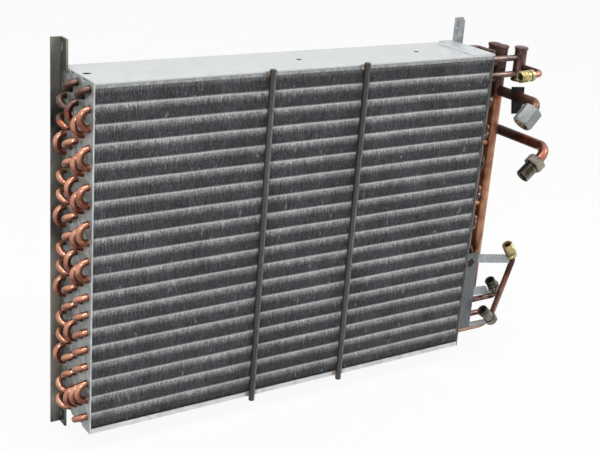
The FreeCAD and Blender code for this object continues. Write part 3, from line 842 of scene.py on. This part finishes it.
class Workshop:
    """Makes finished pieces and hands them to the frame."""

    def __init__(self) -> None:
        """Builds the two node trees that the pieces share."""
        self.made: dict[Finish, Material] = {}
        self.stack_tree = PLATE_STACK.build()
        self.tube_tree = TUBE_RUNS.build()
        self.tube_tree.nodes["sweep"].inputs["Fill Caps"].default_value = True

    def material(self, finish: Finish) -> Material:
        """Gives a finish's material, which is built at its first use."""
        self.made[finish] = self.made.get(finish) or finish.build()
        return self.made[finish]

    def settle(self, piece: Piece, tree: bpy.types.NodeTree, values: dict[str, object]) -> None:
        """Runs a node tree on a piece and keeps its result as a plain mesh.

        Args:
            piece: Object whose mesh goes into the tree.
            tree: The tree to run.
            values: Values of the tree's named inputs.
        """
        modifier = piece.modifiers.new("build", "NODES")
        modifier.node_group = tree
        for item in tree.interface.items_tree:
            if item.item_type == "SOCKET" and item.in_out == "INPUT" and item.name in values:
                modifier[item.identifier] = values[item.name]
        graph = bpy.context.evaluated_depsgraph_get()
        mesh = bpy.data.meshes.new_from_object(piece.evaluated_get(graph))
        mesh.name = piece.name
        piece.modifiers.clear()
        piece.data = mesh

    def tubes(self, name: str, paths: Paths, radius: float, sides: int, finish: Finish) -> Piece:
        """Round tubes along centre lines.

        Args:
            name: Name of the piece.
            paths: Centre lines in casing millimetres.
            radius: Tube radius in millimetres.
            sides: Sides of the tube's round section.
            finish: The finish.

        Returns:
            The piece.
        """
        points: list[Vector] = []
        edges: list[tuple[int, int]] = []
        for path in paths:
            first = len(points)
            points.extend(metres(point) for point in path)
            edges.extend((index, index + 1) for index in range(first, len(points) - 1))
        mesh = bpy.data.meshes.new(name)
        mesh.from_pydata(points, edges, [])
        piece = placed(name, mesh)
        values = {"Radius": radius / MM, "Sides": sides, "Material": self.material(finish)}
        self.settle(piece, self.tube_tree, values)
        shell = bmesh.new()
        shell.from_mesh(piece.data)
        bmesh.ops.remove_doubles(shell, verts=shell.verts, dist=1e-7)
        bmesh.ops.recalc_face_normals(shell, faces=shell.faces)
        shell.to_mesh(piece.data)
        shell.free()
        piece.data.set_sharp_from_angle(angle=math.radians(40))
        return piece

    def solid(
        self, name: str, shell: Shell, finishes: Sequence[Finish], smooth: Optional[float] = 35.0
    ) -> Piece:
        """Makes a piece from a built shell given in casing millimetres.

        Args:
            name: Name of the piece.
            shell: The shell; it is freed.
            finishes: The finishes, by the faces' material index.
            smooth: Edges sharper than this angle stay sharp; None keeps every face flat.

        Returns:
            The piece.
        """
        bmesh.ops.remove_doubles(shell, verts=shell.verts, dist=1e-4)
        bmesh.ops.recalc_face_normals(shell, faces=shell.faces)
        for vertex in shell.verts:
            vertex.co = metres(vertex.co)
        mesh = bpy.data.meshes.new(name)
        shell.to_mesh(mesh)
        shell.free()
        for finish in finishes:
            mesh.materials.append(self.material(finish))
        if smooth is not None:
            mesh.polygons.foreach_set("use_smooth", [True] * len(mesh.polygons))
            mesh.set_sharp_from_angle(angle=math.radians(smooth))
        return placed(name, mesh)

    def turned(
        self, shell: Shell, profile: Profile, place: Matrix, sides: int, flats: float = 0.0
    ) -> None:
        """Adds a turned body, with hexagon flats where the profile is wide enough.

        Args:
            shell: Shell that takes the body.
            profile: (radius, height) pairs from the axis and back to it.
            place: Moves the body from the Z axis to its place.
            sides: Divisions around the axis, a multiple of twelve.
            flats: Width across flats of the hexagon, or 0 for a round body.
        """
        half = math.pi / 6
        rings: list[list[bmesh.types.BMVert]] = []
        for radius, height in profile:
            ring = []
            for index in range(1 if radius == 0 else sides):
                angle = 2 * math.pi * index / sides
                reach = radius
                if flats:
                    corner = (angle + half) % (2 * half) - half
                    reach = min(radius, flats / 2 / math.cos(half - abs(corner)))
                x, y = reach * math.cos(angle), reach * math.sin(angle)
                ring.append(shell.verts.new(place @ Vector((x, y, height))))
            rings.append(ring)
        for low, high in zip(rings, rings[1:]):
            for index in range(sides):
                after = (index + 1) % sides
                spots = ((low, index), (low, after), (high, after), (high, index))
                kept = dict.fromkeys(ring[spot % len(ring)] for ring, spot in spots)
                if len(kept) > 2:
                    shell.faces.new(kept)

    def hand_over(self, piece: Piece, slot: str, *nodes: str) -> None:
        """Rides a piece on the body and hides what it stands for.

        Args:
            piece: The piece.
            slot: Finish slot; not used.
            *nodes: Nodes that it stands for.
        """
        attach(piece, "root")
        if nodes:
            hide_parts(*nodes)
        faces = len(piece.data.polygons)
        log.info("%s: %d faces, for %s", piece.name, faces, ", ".join(nodes) or "no node")

    def run(self, node: str, paths: Paths, radius: float, sides: int, dress: Dress) -> None:
        """Hands over round tubes in place of a node."""
        piece = self.tubes("round_" + node, paths, radius, sides, dress[0])
        self.hand_over(piece, dress[1], node)

    def body(self, node: str, shell: Shell, dress: Dress) -> None:
        """Hands over a turned body in place of a node."""
        self.hand_over(self.solid("turned_" + node, shell, [dress[0]]), dress[1], node)

    def dress(self, node: str, finish: Finish) -> None:
        """Gives a carried-over solid its finish.

        Args:
            node: Node of the solid.
            finish: The finish.
        """
        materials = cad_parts[node].data.materials
        materials.clear()
        materials.append(self.material(finish))
        log.info("%s dressed with %s", node, finish.name)


@dataclass
class FinPack:
    """The aluminium fins and the straight tubes that run through them."""

    shop: Workshop
    count: int = 330
    thickness: float = 0.32
    facets: int = 4
    end_gap: float = 0.4
    setback: float = 1.2
    depth_gap: float = 0.1
    leg_sides: int = 12

    def ridges(self, setback: float) -> Profile:
        """Ridged front edge.

        Args:
            setback: How far it stands back.

        Returns:
            (depth, height) pairs from the top down.
        """
        points: list[Span] = []
        front = COIL.fin_front + setback
        creases = COIL.creases()
        for high, low in zip(creases, creases[1:]):
            half = (high - low) / 2
            radius = (half**2 + COIL.ridge**2) / (2 * COIL.ridge)
            sweep = math.asin(half / radius)
            for facet in range(self.facets):
                angle = sweep * (1 - 2 * facet / self.facets)
                y = front + radius * (1 - math.cos(angle))
                points.append((y, high - half + radius * math.sin(angle)))
        return [*points, (front + COIL.ridge, COIL.fin_bottom)]

    def plate(self, left: float, right: float, setback: float) -> Shell:
        """A plate with a ridged front edge.

        Args:
            left: Its left face.
            right: Its right face.
            setback: How far its front and rear edges stand back.

        Returns:
            The plate in casing millimetres.
        """
        outline = self.ridges(setback)
        rear = COIL.fin_back - setback
        outline += [(rear, outline[-1][1]), (rear, outline[0][1])]
        shell = bmesh.new()
        near, far = ([shell.verts.new((x, y, z)) for y, z in outline] for x in (left, right))
        shell.faces.new(near)
        shell.faces.new(far[::-1])
        for index in range(len(outline)):
            after = (index + 1) % len(outline)
            shell.faces.new((near[index], far[index], far[after], near[after]))
        return shell

    def build(self) -> None:
        """Builds the fin stack, a dark block of painted shade for the depth behind its edges, and
        the tube legs.
        """
        shop = self.shop
        left, right = COIL.sheet, COIL.length - COIL.sheet
        start = left + self.end_gap
        plate = self.plate(start, start + self.thickness, 0.0)
        stack = shop.solid("fin_stack", plate, [FINS], None)
        run = right - left - 2 * self.end_gap - self.thickness
        pitch = Vector((run / (self.count - 1) / MM, 0, 0))
        values = {"Count": self.count, "Pitch": pitch, "Material": shop.material(FINS)}
        shop.settle(stack, shop.stack_tree, values)
        shop.hand_over(stack, "fins", "fin_core")
        # Dark block of painted shade behind the fin edges.
        block = self.plate(left + self.depth_gap, right - self.depth_gap, self.setback)
        shop.hand_over(shop.solid("fin_depth_shade", block, [FIN_DEPTH_SHADE], None), "fins")
        tubes = [(column, row) for column in range(COIL.columns) for row in range(COIL.rows)]
        legs = [(COIL.tube(left, *spot), COIL.tube(right, *spot)) for spot in tubes]
        piece = shop.tubes("tube_legs", legs, COIL.tube_r, self.leg_sides, LEG)
        shop.hand_over(piece, "copper")


def upright(column: int, *rows: int) -> list[Pair]:
    """Bends that join a tube to the one below it."""
    return [(column, row, column, row + 1) for row in rows]


def slanted(column: int, *rows: int) -> list[Pair]:
    """Bends that join a tube to its neighbour in the next column."""
    return [(column, row, column + 1, row) for row in rows]


@dataclass
class ReturnBends:
    """Brazed U bends at both ends of the coil."""

    shop: Workshop
    steps: int = 12
    sides: int = 16
    collar: float = 1.6
    collar_wall: float = 0.55

    def arc(self, x: float, pair: Pair, end: End) -> list[Vector]:
        """Centre line of one bend.

        Args:
            x: Place of the tubes' ends.
            pair: Column and row of the first tube, then of the second.
            end: End of the coil.

        Returns:
            The line's points.
        """
        first, second = COIL.tube(x, *pair[:2]), COIL.tube(x, *pair[2:])
        middle = (first + second) / 2
        arm = first - middle
        out = Vector((end.value, 0, 0)) * arm.length
        angles = (math.pi * step / self.steps for step in range(self.steps + 1))
        return [middle + arm * math.cos(angle) + out * math.sin(angle) for angle in angles]

    def group(self, node: str, pairs: list[Pair], end: End, tube: Finish, ring: Finish) -> None:
        """Builds one group of bends and their brazed collars.

        Args:
            node: Node that the bends stand for.
            pairs: The tubes that each bend joins.
            end: End of the coil.
            tube: Finish of the bends.
            ring: Finish of the collars.
        """
        x = 0.0 if end is End.LEFT else COIL.length
        bends = [self.arc(x, pair, end) for pair in pairs]
        self.shop.run(node, bends, COIL.tube_r, self.sides, (tube, "copper"))
        out = Vector((end.value * self.collar, 0, 0))
        starts = [COIL.tube(x, *spot) for pair in pairs for spot in (pair[:2], pair[2:])]
        lines = [(start, start + out) for start in starts]
        radius = COIL.tube_r + self.collar_wall
        rings = self.shop.tubes("collars_" + node, lines, radius, self.sides, ring)
        self.shop.hand_over(rings, "copper")

    def build(self) -> None:
        """Builds the four groups."""
        left_front = upright(0, 1, 3, 5, 7, 9, 16) + upright(1, 1, 3, 5, 7, 9, 16)
        left_front += slanted(0, 0, 11, 12, 13, 14, 15, 18)
        left_rear = upright(2, 1, 5, 9, 13, 17) + upright(4, 3, 7, 11, 15)
        left_rear += slanted(2, 0, 3, 4, 7, 8, 11, 12, 15, 16)
        left_rear += slanted(3, 1, 2, 5, 6, 9, 10, 13, 14, 17, 18)
        right_front = upright(0, *range(2, 15, 2)) + upright(1, 2, 6, 11, 15, 17)
        right_rear = upright(2, *range(0, 17, 2)) + upright(3, *range(2, 15, 2))
        right_rear += upright(4, *range(2, 17, 2)) + slanted(2, 18) + [(3, 17, 4, 18)]
        self.group("left_bends_front", left_front, End.LEFT, BEND, BEND)
        self.group("left_bends_rear", left_rear, End.LEFT, BEND, BEND)
        self.group("right_bends_front", right_front, End.RIGHT, BURNT_BEND, SOLDER)
        self.group("right_bends_rear", right_rear, End.RIGHT, FAR_BEND, FAR_BEND)


@dataclass
class Casing:
    """Tube sheets, channels and mounting angles, dressed as they are."""

    shop: Workshop
    # The top and end sheets get painted shade below this height.
    shade_line: float = 26.6
    rust_spot: Triple = (660.0, 0.0, -314.0)
    # Slot places in the top channel, where dark discs of painted shade go.
    holes: tuple[Span, ...] = ((10.9, 50.5), (14.1, 50.5), (330.7, 50.5), (540.4, 50.5))

    def build(self) -> None:
        """Dresses the sheet metal."""
        # Top sheet: painted shade on its front lip, dark discs of painted shade over the slots.
        top = SheetFinish(
            "top_sheet", (0.68, 0.70, 0.70), (0.56, 0.58, 0.585), mottle=0.8,
            shaded_below=self.shade_line, shaded_holes=self.holes,
        )
        bottom = SheetFinish("bottom_sheet", (0.74, 0.75, 0.755), (0.56, 0.57, 0.575))
        # End sheet: painted shade on its faces below the line, darker still along its front edge.
        right = SheetFinish(
            "end_sheet", (0.70, 0.72, 0.73), (0.50, 0.52, 0.53), mottle=0.6,
            shaded_below=self.shade_line, shade_colours=((0.14, 0.13, 0.125), (0.40, 0.40, 0.39)), edge=3.0,
        )
        # Side sheet: painted highlight along its front edge.
        left = SheetFinish(
            "side_sheet", (0.43, 0.46, 0.45), (0.23, 0.26, 0.25), 0.5, mottle=0.4, painted_rim=True
        )
        strap = SheetFinish(
            "strap_sheet", (0.165, 0.178, 0.186), (0.095, 0.104, 0.108), 0.5, spangle=500.0,
            stain=self.rust_spot,
        )
        arm = SheetFinish("arm_sheet", (0.42, 0.44, 0.46), (0.25, 0.265, 0.28), 0.5, spangle=400.0)
        bracket = SheetFinish("bracket_sheet", (0.46, 0.48, 0.49), (0.28, 0.30, 0.31), 0.6)
        # Left bracket: painted shade on its faces turned away from the front.
        angle = MetalFinish(
            "dark_angle", (0.40, 0.39, 0.335), (0.012, 0.013, 0.017), 0.5, 0.4, grain=75.0,
            stretch=(1, 1, 0.45), lit_side=(0.0, -1.0, 0.0), side_shade=0.75,
        )
        black = MetalFinish(
            "black_plate", (0.012, 0.012, 0.015), (0.005, 0.005, 0.006), 0.0, 0.6, gloss=0.15
        )
        for finish, *nodes in (
            (top, "top_channel"),
            (bottom, "bottom_channel"),
            (right, "right_tube_sheet"),
            (left, "left_tube_sheet"),
            (strap, "strap_plate"),
            (arm, "strap_arm_top", "strap_arm_middle", "strap_arm_bottom"),
            (bracket, "right_mounting_bracket"),
            (angle, "left_mounting_bracket"),
            (black, "pipe_support"),
        ):
            for node in nodes:
                self.shop.dress(node, finish)


@dataclass
class FrontRods:
    """Round tie rods welded to the lips of the channels."""

    shop: Workshop
    radius: float = 4.5
    back: float = 0.3
    chamfer: float = 0.6
    places: Span = (254.6, 410.4)
    low: float = -466.0
    high: float = 31.0
    sides: int = 24
    bead_rows: tuple[Span, ...] = ((24.6, 5.4), (-457.3, 3.0))
    bead_reach: float = 4.4
    bead_zigzag: float = 2.0
    bead_y: float = -1.2
    bead_size: float = 2.0
    bead_change: float = 0.4
    lumps: int = 4

    def build(self) -> None:
        """Builds the rods and their weld beads."""
        r, c, length = self.radius, self.chamfer, self.high - self.low
        profile = [(0, 0), (r - c, 0), (r, c), (r, length - c), (r - c, length), (0, length)]
        for x, node in zip(self.places, ("front_rod_left", "front_rod_right")):
            shell = bmesh.new()
            foot = Vector((x, self.back - r, self.low))
            self.shop.turned(shell, profile, turning(foot, UP), self.sides)
            self.shop.body(node, shell, (ROD, "rod_steel"))
        self.beads()

    def beads(self) -> None:
        """Lumpy weld beads on both sides of each rod."""
        shell = bmesh.new()
        beads = [(x, side, *row) for x in self.places for side in (-1, 1) for row in self.bead_rows]
        for x, side, z, tall in beads:
            for step in range(self.lumps):
                out = side * (self.bead_reach + self.bead_zigzag * (step % 2))
                height = z - tall / 2 + tall * (step + 0.5) / self.lumps
                size = self.bead_size + self.bead_change * math.sin(7.0 * step + x)
                place = Matrix.Translation((x + out, self.bead_y, height))
                place = place @ Matrix.Diagonal((size * 1.5, size * 0.8, size, 1))
                bmesh.ops.create_icosphere(shell, subdivisions=2, radius=1.0, matrix=place)
        piece = self.shop.solid("weld_lumps", shell, [BEAD], 80.0)
        self.shop.hand_over(piece, "rusty_weld", "rod_weld_beads")


@dataclass
class Headers:
    """The three headers with their caps and the feeders that enter them."""

    shop: Workshop
    radius: float = 9.525
    cap: float = 10.75
    cap_height: float = 4.0
    sides: int = 36
    feeder_sides: int = 18
    bite: float = 1.0
    tight: float = 1.7

    def header(self, name: str, spot: tuple[float, int], span: Span, dress: Dress) -> None:
        """A header tube with a flat brazed cap at each end.

        Args:
            name: Node that the tube stands for; its caps' node has _caps added.
            spot: Distance from the right tube sheet and the coil column it lines up with.
            span: Heights of its ends.
            dress: Its finish and slot.
        """
        (a, column), (low, high) = spot, span
        base = turning(COIL.right(a, COIL.depth(column), low), UP)
        length, r, cap, top = high - low, self.radius, self.cap, self.cap_height
        tube = bmesh.new()
        self.shop.turned(tube, [(0, 0), (r, 0), (r, length), (0, length)], base, self.sides)
        self.shop.body(name, tube, dress)
        rim = [(cap - 0.4, 0), (cap, 0.5), (cap, 2.6), (cap - 0.5, 3.5), (cap - 1.6, top)]
        profile = [(0, 0), *rim, (0, top)]
        caps = bmesh.new()
        for turn in (Matrix.Translation((0, 0, length)), Matrix.Rotation(math.pi, 4, "X")):
            self.shop.turned(caps, profile, base @ turn, self.sides)
        self.shop.body(name + "_caps", caps, (dress[0], "scorched_copper"))

    def feeders(self, name: str, column: int, rows: Sequence[int], a: float, dress: Dress) -> None:
        """Straight feeders from the tube sheet into a header.

        Args:
            name: Node that they stand for.
            column: Coil column that they leave.
            rows: Rows that they leave.
            a: Distance of the header from the right tube sheet.
            dress: Their finish and slot.
        """
        run = Vector((a - self.radius + self.bite, 0, 0))
        starts = [COIL.tube(COIL.length, column, row) for row in rows]
        paths = [(start, start + run) for start in starts]
        self.shop.run(name, paths, COIL.tube_r, self.feeder_sides, dress)

    def cross_feeder(self, name: str, row: int, a: float, column: int, dress: Dress) -> None:
        """Feeder from the rear column that turns forward into a header.

        Args:
            name: Node that it stands for.
            row: Row that it leaves.
            a: Distance of the header from the right tube sheet.
            column: Column that the header lines up with.
            dress: Its finish and slot.
        """
        start = COIL.tube(COIL.length, COIL.columns - 1, row)
        corner = start + Vector((a, 0, 0))
        finish = Vector((corner.x, COIL.depth(column) + self.radius - self.bite, start.z))
        path = rounded_path([start, corner, finish], COIL.tube_r * self.tight)
        self.shop.run(name, [path], COIL.tube_r, self.feeder_sides, dress)

    def build(self) -> None:
        """Builds headers and feeders."""
        main, rear, inlet = MAIN_HEADER, REAR_HEADER, INLET_HEADER
        clean, burnt = (HEADER, "copper"), (BROWN_HEADER, "scorched_copper")
        self.header("main_header", (main, 1), (-380.0, 30.6), clean)
        self.header("rear_header", (rear, 3), (-416.0, 25.0), clean)
        self.header("inlet_header", (inlet, 0), (-15.0, 31.0), burnt)
        self.feeders("main_feeders", 1, (0, 1, 4, 5, 8, 9, 10, 13, 14), main, clean)
        self.feeders("rear_feeders", 3, (0, 1, 16), rear, clean)
        self.feeders("inlet_feeders", 0, (0, 1), inlet, burnt)
        self.cross_feeder("main_cross_feeder", 0, main, 1, burnt)
        self.cross_feeder("rear_cross_feeder", 1, rear, 3, clean)


@dataclass
class Pipework:
    """Oil, refrigerant and cooler pipes of the right end with their fittings."""

    shop: Workshop
    oil_r: float = 7.95
    behind: float = 9.0
    pipe_sides: int = 20
    oil_sides: int = 24
    bend_steps: int = 12
    nut_start: float = 10.7
    nut_flats: float = 28.6
    male_start: float = 24.7
    male_flats: float = 26.5
    flare_start: float = 20.6
    outlet_start: float = 6.5
    cooler_flats: float = 19.05

    def pipe(
        self,
        node: str,
        points: Sequence[Vector],
        bend: float,
        dress: Dress,
        size: Optional[tuple[float, int]] = None,
    ) -> None:
        """One bent pipe in place of a node.

        Args:
            node: The node.
            points: Corners of its route.
            bend: Radius of its bends.
            dress: Its finish and slot.
            size: Its radius and number of sides, or None for those of a small pipe.
        """
        radius, sides = size or (COIL.tube_r, self.pipe_sides)
        path = rounded_path(points, bend, self.bend_steps)
        self.shop.run(node, [path], radius, sides, dress)

    def fitting(
        self,
        node: str,
        place: Seat,
        profile: Profile,
        dress: Dress,
        hexagon: Profile = (),
        flats: float = 0.0,
        mouth: Span = (0.0, 0.0),
        bore: Finish = BORE,
    ) -> None:
        """A turned fitting in place of a node.

        Args:
            node: The node that it stands for.
            place: Where it starts on its pipe's centre line, and the way that its mouth faces.
            profile: Round part as (radius, height) pairs.
            dress: Its finish and slot.
            hexagon: Profile of its hexagon part, or empty.
            flats: Width across the hexagon's flats.
            mouth: Radius and lowest height of the faces inside the bore.
            bore: Finish of those faces.
        """
        shell = bmesh.new()
        turn = turning(*place)
        self.shop.turned(shell, profile, turn, 48)
        self.shop.turned(shell, hexagon, turn, 72, flats)
        radius, low = mouth
        back = turn.inverted()
        for face in shell.faces:
            centre = back @ face.calc_center_median()
            if centre.z > low and math.hypot(centre.x, centre.y) < radius:
                face.material_index = 1
        piece = self.shop.solid("turned_" + node, shell, [dress[0], bore], 28.0)
        self.shop.hand_over(piece, dress[1], node)

    def build(self) -> None:
        """Builds the pipes and what is screwed or brazed on them."""
        upper = (COIL.right(MAIN_HEADER, -61.1, UPPER_OIL_Z), slope(46.8))
        lower = (COIL.right(REAR_HEADER, -77.8, LOWER_OIL_Z), slope(40.0))
        self.oil_pipe("upper_oil_pipe", 1, upper, 32.4, 12.0, UPPER_OIL)
        self.oil_pipe("lower_oil_pipe", 3, lower, 39.7, 20.0, LOWER_OIL)
        self.swivel_nut(upper)
        self.male_fitting(lower)
        self.refrigerant_side()
        self.cooler_side()

    def oil_pipe(
        self, node: str, column: int, turn: Seat, run: float, bend: float, finish: Finish
    ) -> None:
        """A large pipe that comes forward from a header and turns down along the coil.

        Args:
            node: The node.
            column: Column of its header.
            turn: Where it turns, and the direction that it turns to.
            run: Length after the corner.
            bend: Radius of the turn.
            finish: The finish.
        """
        corner, way = turn
        start = Vector((corner.x, COIL.depth(column) - self.behind, corner.z))
        route, size = [start, corner, corner + way * run], (self.oil_r, self.oil_sides)
        self.pipe(node, route, bend, (finish, "scorched_copper"), size)

    def swivel_nut(self, turn: Seat) -> None:
        """The swivel nut and sleeve of the upper oil pipe.

        Args:
            turn: Where the pipe turns, and the direction that it turns to.
        """
        (corner, way), flats = turn, self.nut_flats
        half, edge, floor, end, bore_r = flats / 2, flats / math.sqrt(3), 21.7, 30.7, 11.0
        nut = [(8.2, 0), (half - 0.3, 0), (edge, 1.9), (edge, 28.4), (half - 0.6, end), (11.6, end)]
        nut += [(r, end - (z - floor)) for r, z in thread(bore_r, floor, 30.2, 1.5, -0.4)]
        nut += [(10.25, floor), (10.25, 12.7), (8.2, 12.7), (8.2, 0)]
        place, mouth = (corner + way * self.nut_start, way), (11.9, 12.0)
        self.fitting("upper_oil_nut", place, [], (ZINC, "zinc"), nut, flats, mouth, CUT_BRONZE)
        sleeve = [(0, 12.7), (10.0, 12.7), (10.0, 20.9), (9.2, floor), (6.8, floor)]
        sleeve += [(6.2, 14.0), (0, 14.0)]
        self.fitting("upper_oil_sleeve", place, sleeve, (BRONZE, "bronze"))

    def male_fitting(self, turn: Seat) -> None:
        """The male fitting of the lower oil pipe.

        Args:
            turn: Where the pipe turns, and the direction that it turns to.
        """
        corner, way = turn
        body = [(0, 14.0), (9.6, 14.0), (9.6, 18.6), *thread(11.0, 19.0, 35.6, 1.5, 0.55)]
        body += [(11.0, 36.2), (9.8, 37.4), (8.4, 37.4), (7.0, 35.4), (7.0, 18.0), (0, 18.0)]
        nut = [(0, 0), (13.0, 0), (15.3, 1.3), (15.3, 13.7), (13.0, 15.0), (0, 15.0)]
        place, dress = (corner + way * self.male_start, way), (PHOSPHATED, "zinc")
        self.fitting("lower_oil_fitting", place, body, dress, nut, self.male_flats, (8.0, 16.0))

    def flare(self, node: str, place: Seat) -> None:
        """A brass fitting: collar, sealing groove and ribbed nose.

        Args:
            node: The node that it stands for.
            place: Where it starts on its pipe's centre line, and the way that its mouth faces.
        """
        body = [(0, 0), (8.0, 0), (8.9, 0.9), (8.9, 4.9), (8.4, 5.5), (7.6, 6.0), (7.6, 8.0)]
        body += [(8.4, 8.5), (8.9, 9.1), (8.9, 14.6), (8.3, 15.0), (8.3, 15.8), (8.9, 16.2)]
        body += [*thread(8.9, 16.4, 23.8, 1.3, 0.4), (8.9, 25.2), (8.0, 26.5), (5.6, 26.5)]
        body += [(4.6, 24.4), (4.6, 14.5), (0, 14.5)]
        self.fitting(node, place, body, (BRASS, "brass"), mouth=(4.8, 12.0))
        ring = [(7.6, 6.0), (8.25, 6.25), (8.45, 7.0), (8.25, 7.75), (7.6, 8.0), (7.6, 6.0)]
        seal = bmesh.new()
        self.shop.turned(seal, ring, turning(*place), 36)
        self.shop.hand_over(self.shop.solid("seal_" + node, seal, [SEAL]), "brass")

    def refrigerant_side(self) -> None:
        """Inlet pipe and outlet pipe with their brass fittings."""
        corner, way = COIL.right(INLET_HEADER, -40.0, INLET_Z), slope(3.0)
        start = COIL.right(INLET_HEADER, COIL.depth(0) - self.behind, INLET_Z)
        route = [start, corner, corner + way * 35.0]
        self.pipe("inlet_pipe", route, 12.7, (INLET, "copper"))
        self.flare("inlet_fitting", (corner + way * self.flare_start, way))
        start = COIL.tube(COIL.length, 0, 18)
        low = COIL.right(OUTLET_RISER, start.y, start.z)
        high = COIL.right(OUTLET_RISER, -24.0, -308.0)
        way = Vector((-0.54, 0, 0.84)).normalized()
        self.pipe("outlet_pipe", [start, low, high, high + way * 21.0], 24.0, (OUTLET, "copper"))
        self.flare("outlet_fitting", (high + way * self.outlet_start, way))

    def cooler(self, node: str, base: Vector, direction: Vector, length: float) -> None:
        """A small steel male fitting with a threaded nose.

        Args:
            node: The node that it stands for.
            base: Where it starts on its pipe's centre line.
            direction: Way that its mouth faces.
            length: Its length.
        """
        burn = Scorch(tuple(base + direction * length), 6.0, 17.0)
        steel = replace(STEEL, name="steel_" + node, burn=burn)
        body = [(0, 8.0), (7.6, 8.0), (7.6, 11.0), *thread(8.6, 11.4, length - 4.2, 1.4, 0.45)]
        nose = ((7.8, 4.0), (7.8, 3.2), (8.6, 2.8), (8.6, 1.0), (7.6, 0.0), (6.2, 0.0), (5.4, 1.2))
        body += [*((r, length - back) for r, back in nose), (5.4, 9.5), (0, 9.5)]
        hexagon = [(0, 0), (9.4, 0), (11.0, 0.9), (11.0, 8.1), (9.4, 9.0), (0, 9.0)]
        place, flats, dress = (base, direction), self.cooler_flats, (steel, "dull_steel")
        self.fitting(node, place, body, dress, hexagon, flats, (6.0, 9.2))

    def cooler_side(self) -> None:
        """The two cooler pipes at the foot of the coil and their male fittings."""
        way = Vector((-0.634, 0, 0.773)).normalized()
        start = COIL.tube(COIL.length, 0, 16)
        corner = COIL.right(90.0, start.y, start.z)
        route = [start, corner, corner + way * 24.6]
        self.pipe("cooler_pipe_upper", route, 7.5, (COOLER, "copper"))
        self.cooler("cooler_fitting_upper", corner + way * 15.6, way, 23.0)
        way = Vector((-0.736, 0, 0.677)).normalized()
        start = COIL.tube(COIL.length, 0, 17)
        knee = COIL.right(52.0, start.y, start.z)
        base = COIL.right(58.3, -14.5, start.z - 5.7)
        route = [start, knee, base - way * 18.4, base + way * 9.0]
        self.pipe("cooler_pipe_lower", route, 7.5, (DRAIN, "copper"))
        self.cooler("cooler_fitting_lower", base, way, 35.8)


@dataclass
class Studio:
    """Camera, soft lights and the pale floor."""

    lens: float = 69.94
    sensor: float = 36.0
    place: Triple = (-564.0, -1382.6, 587.55)
    right: Triple = (0.8366, -0.5429, 0.0735)
    down: Triple = (-0.131, -0.3284, -0.9354)
    ahead: Triple = (0.5319, 0.7729, -0.3459)
    key: float = 24.0
    fill: float = 12.0
    side: float = 7.0
    sky: float = 0.58
    glow: float = 0.9
    floor_drop: float = 0.002
    floor_reach: float = 12.0

    def camera(self) -> None:
        """Puts the camera where the photograph was taken from."""
        data = bpy.data.cameras.new("camera")
        data.lens = self.lens
        data.sensor_width = self.sensor
        data.clip_start = 0.01
        eye = placed("camera", data)
        right, down, ahead = Vector(self.right), Vector(self.down), Vector(self.ahead)
        turn = Matrix((right, -down, -ahead)).transposed().to_4x4()
        eye.matrix_world = Matrix.Translation(Vector(self.place) / MM) @ turn
        bpy.context.scene.camera = eye

    def lamp(self, name: str, place: Triple, aim: Triple, size: float, power: float) -> None:
        """A soft area light.

        Args:
            name: Its name.
            place: Where it stands, in metres.
            aim: The point that it faces.
            size: Side of its square.
            power: Its power in watts.
        """
        data = bpy.data.lights.new(name, "AREA")
        data.size = size
        data.energy = power
        turn = (Vector(aim) - Vector(place)).to_track_quat("-Z", "Y").to_matrix().to_4x4()
        placed(name, data).matrix_world = Matrix.Translation(place) @ turn

    def world(self) -> None:
        """Plain sky that shows white to the camera and in metal."""
        world = bpy.data.worlds.new("studio")
        world.use_nodes = True
        bpy.context.scene.world = world
        kit = NodeKit(world.node_tree)
        kit.tree.nodes.clear()
        white = (*WHITE, 1)
        soft = kit.add("Background", {"Strength": self.sky, "Color": white}).outputs[0]
        shown = kit.add("Background", {"Color": white}).outputs[0]
        mix = kit.add("MixShader", {"Fac": kit.seen(), 1: soft, 2: shown})
        kit.add("OutputWorld", {"Surface": mix.outputs[0]})

    def floor(self) -> None:
        """Pale floor below the object."""
        z, reach = CAD_BOX[0][2] - self.floor_drop, self.floor_reach
        corners = [(reach * x, reach * y, z) for x, y in ((-1, -1), (1, -1), (1, 1), (-1, 1))]
        mesh = bpy.data.meshes.new("floor")
        mesh.from_pydata(corners, [], [(0, 1, 2, 3)])
        floor = placed("floor", mesh)
        graph = Graph("floor_white", 0.0)
        graph.feed(graph.shader, {"Base Color": (0.93, 0.93, 0.93, 1), "Roughness": 0.9})
        share = graph.math("MULTIPLY", graph.seen(), self.glow)
        plain, shown = graph.shader.outputs["BSDF"], graph.add("Emission").outputs[0]
        blend = graph.add("MixShader", {"Fac": share, 1: plain, 2: shown})
        graph.feed(graph.tree.nodes["Material Output"], {"Surface": blend.outputs[0]})
        mesh.materials.append(graph.material)

    def build(self) -> None:
        """Sets up the whole studio."""
        self.camera()
        self.lamp("key", (-0.2, -0.7, 2.3), (0.35, 0, 0.0), 1.5, self.key)
        self.lamp("fill", (-1.3, -2.0, 1.3), (0.3, 0, 0.0), 0.5, self.fill)
        self.lamp("side", (1.9, -0.8, 1.2), (0.6, 0, 0.0), 0.6, self.side)
        self.world()
        self.floor()
        bpy.context.scene.view_settings.view_transform = "Standard"


def main() -> None:
    """Builds every sub-assembly in order."""
    logging.basicConfig(level=logging.INFO, format="%(name)s: %(message)s")
    shop = Workshop()
    parts = (FinPack, ReturnBends, Casing, FrontRods, Headers, Pipework)
    for assembly in (*(part(shop) for part in parts), Studio()):
        assembly.build()
        log.info("%s done", type(assembly).__name__)
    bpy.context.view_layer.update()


if __name__ == "__main__":
    main()
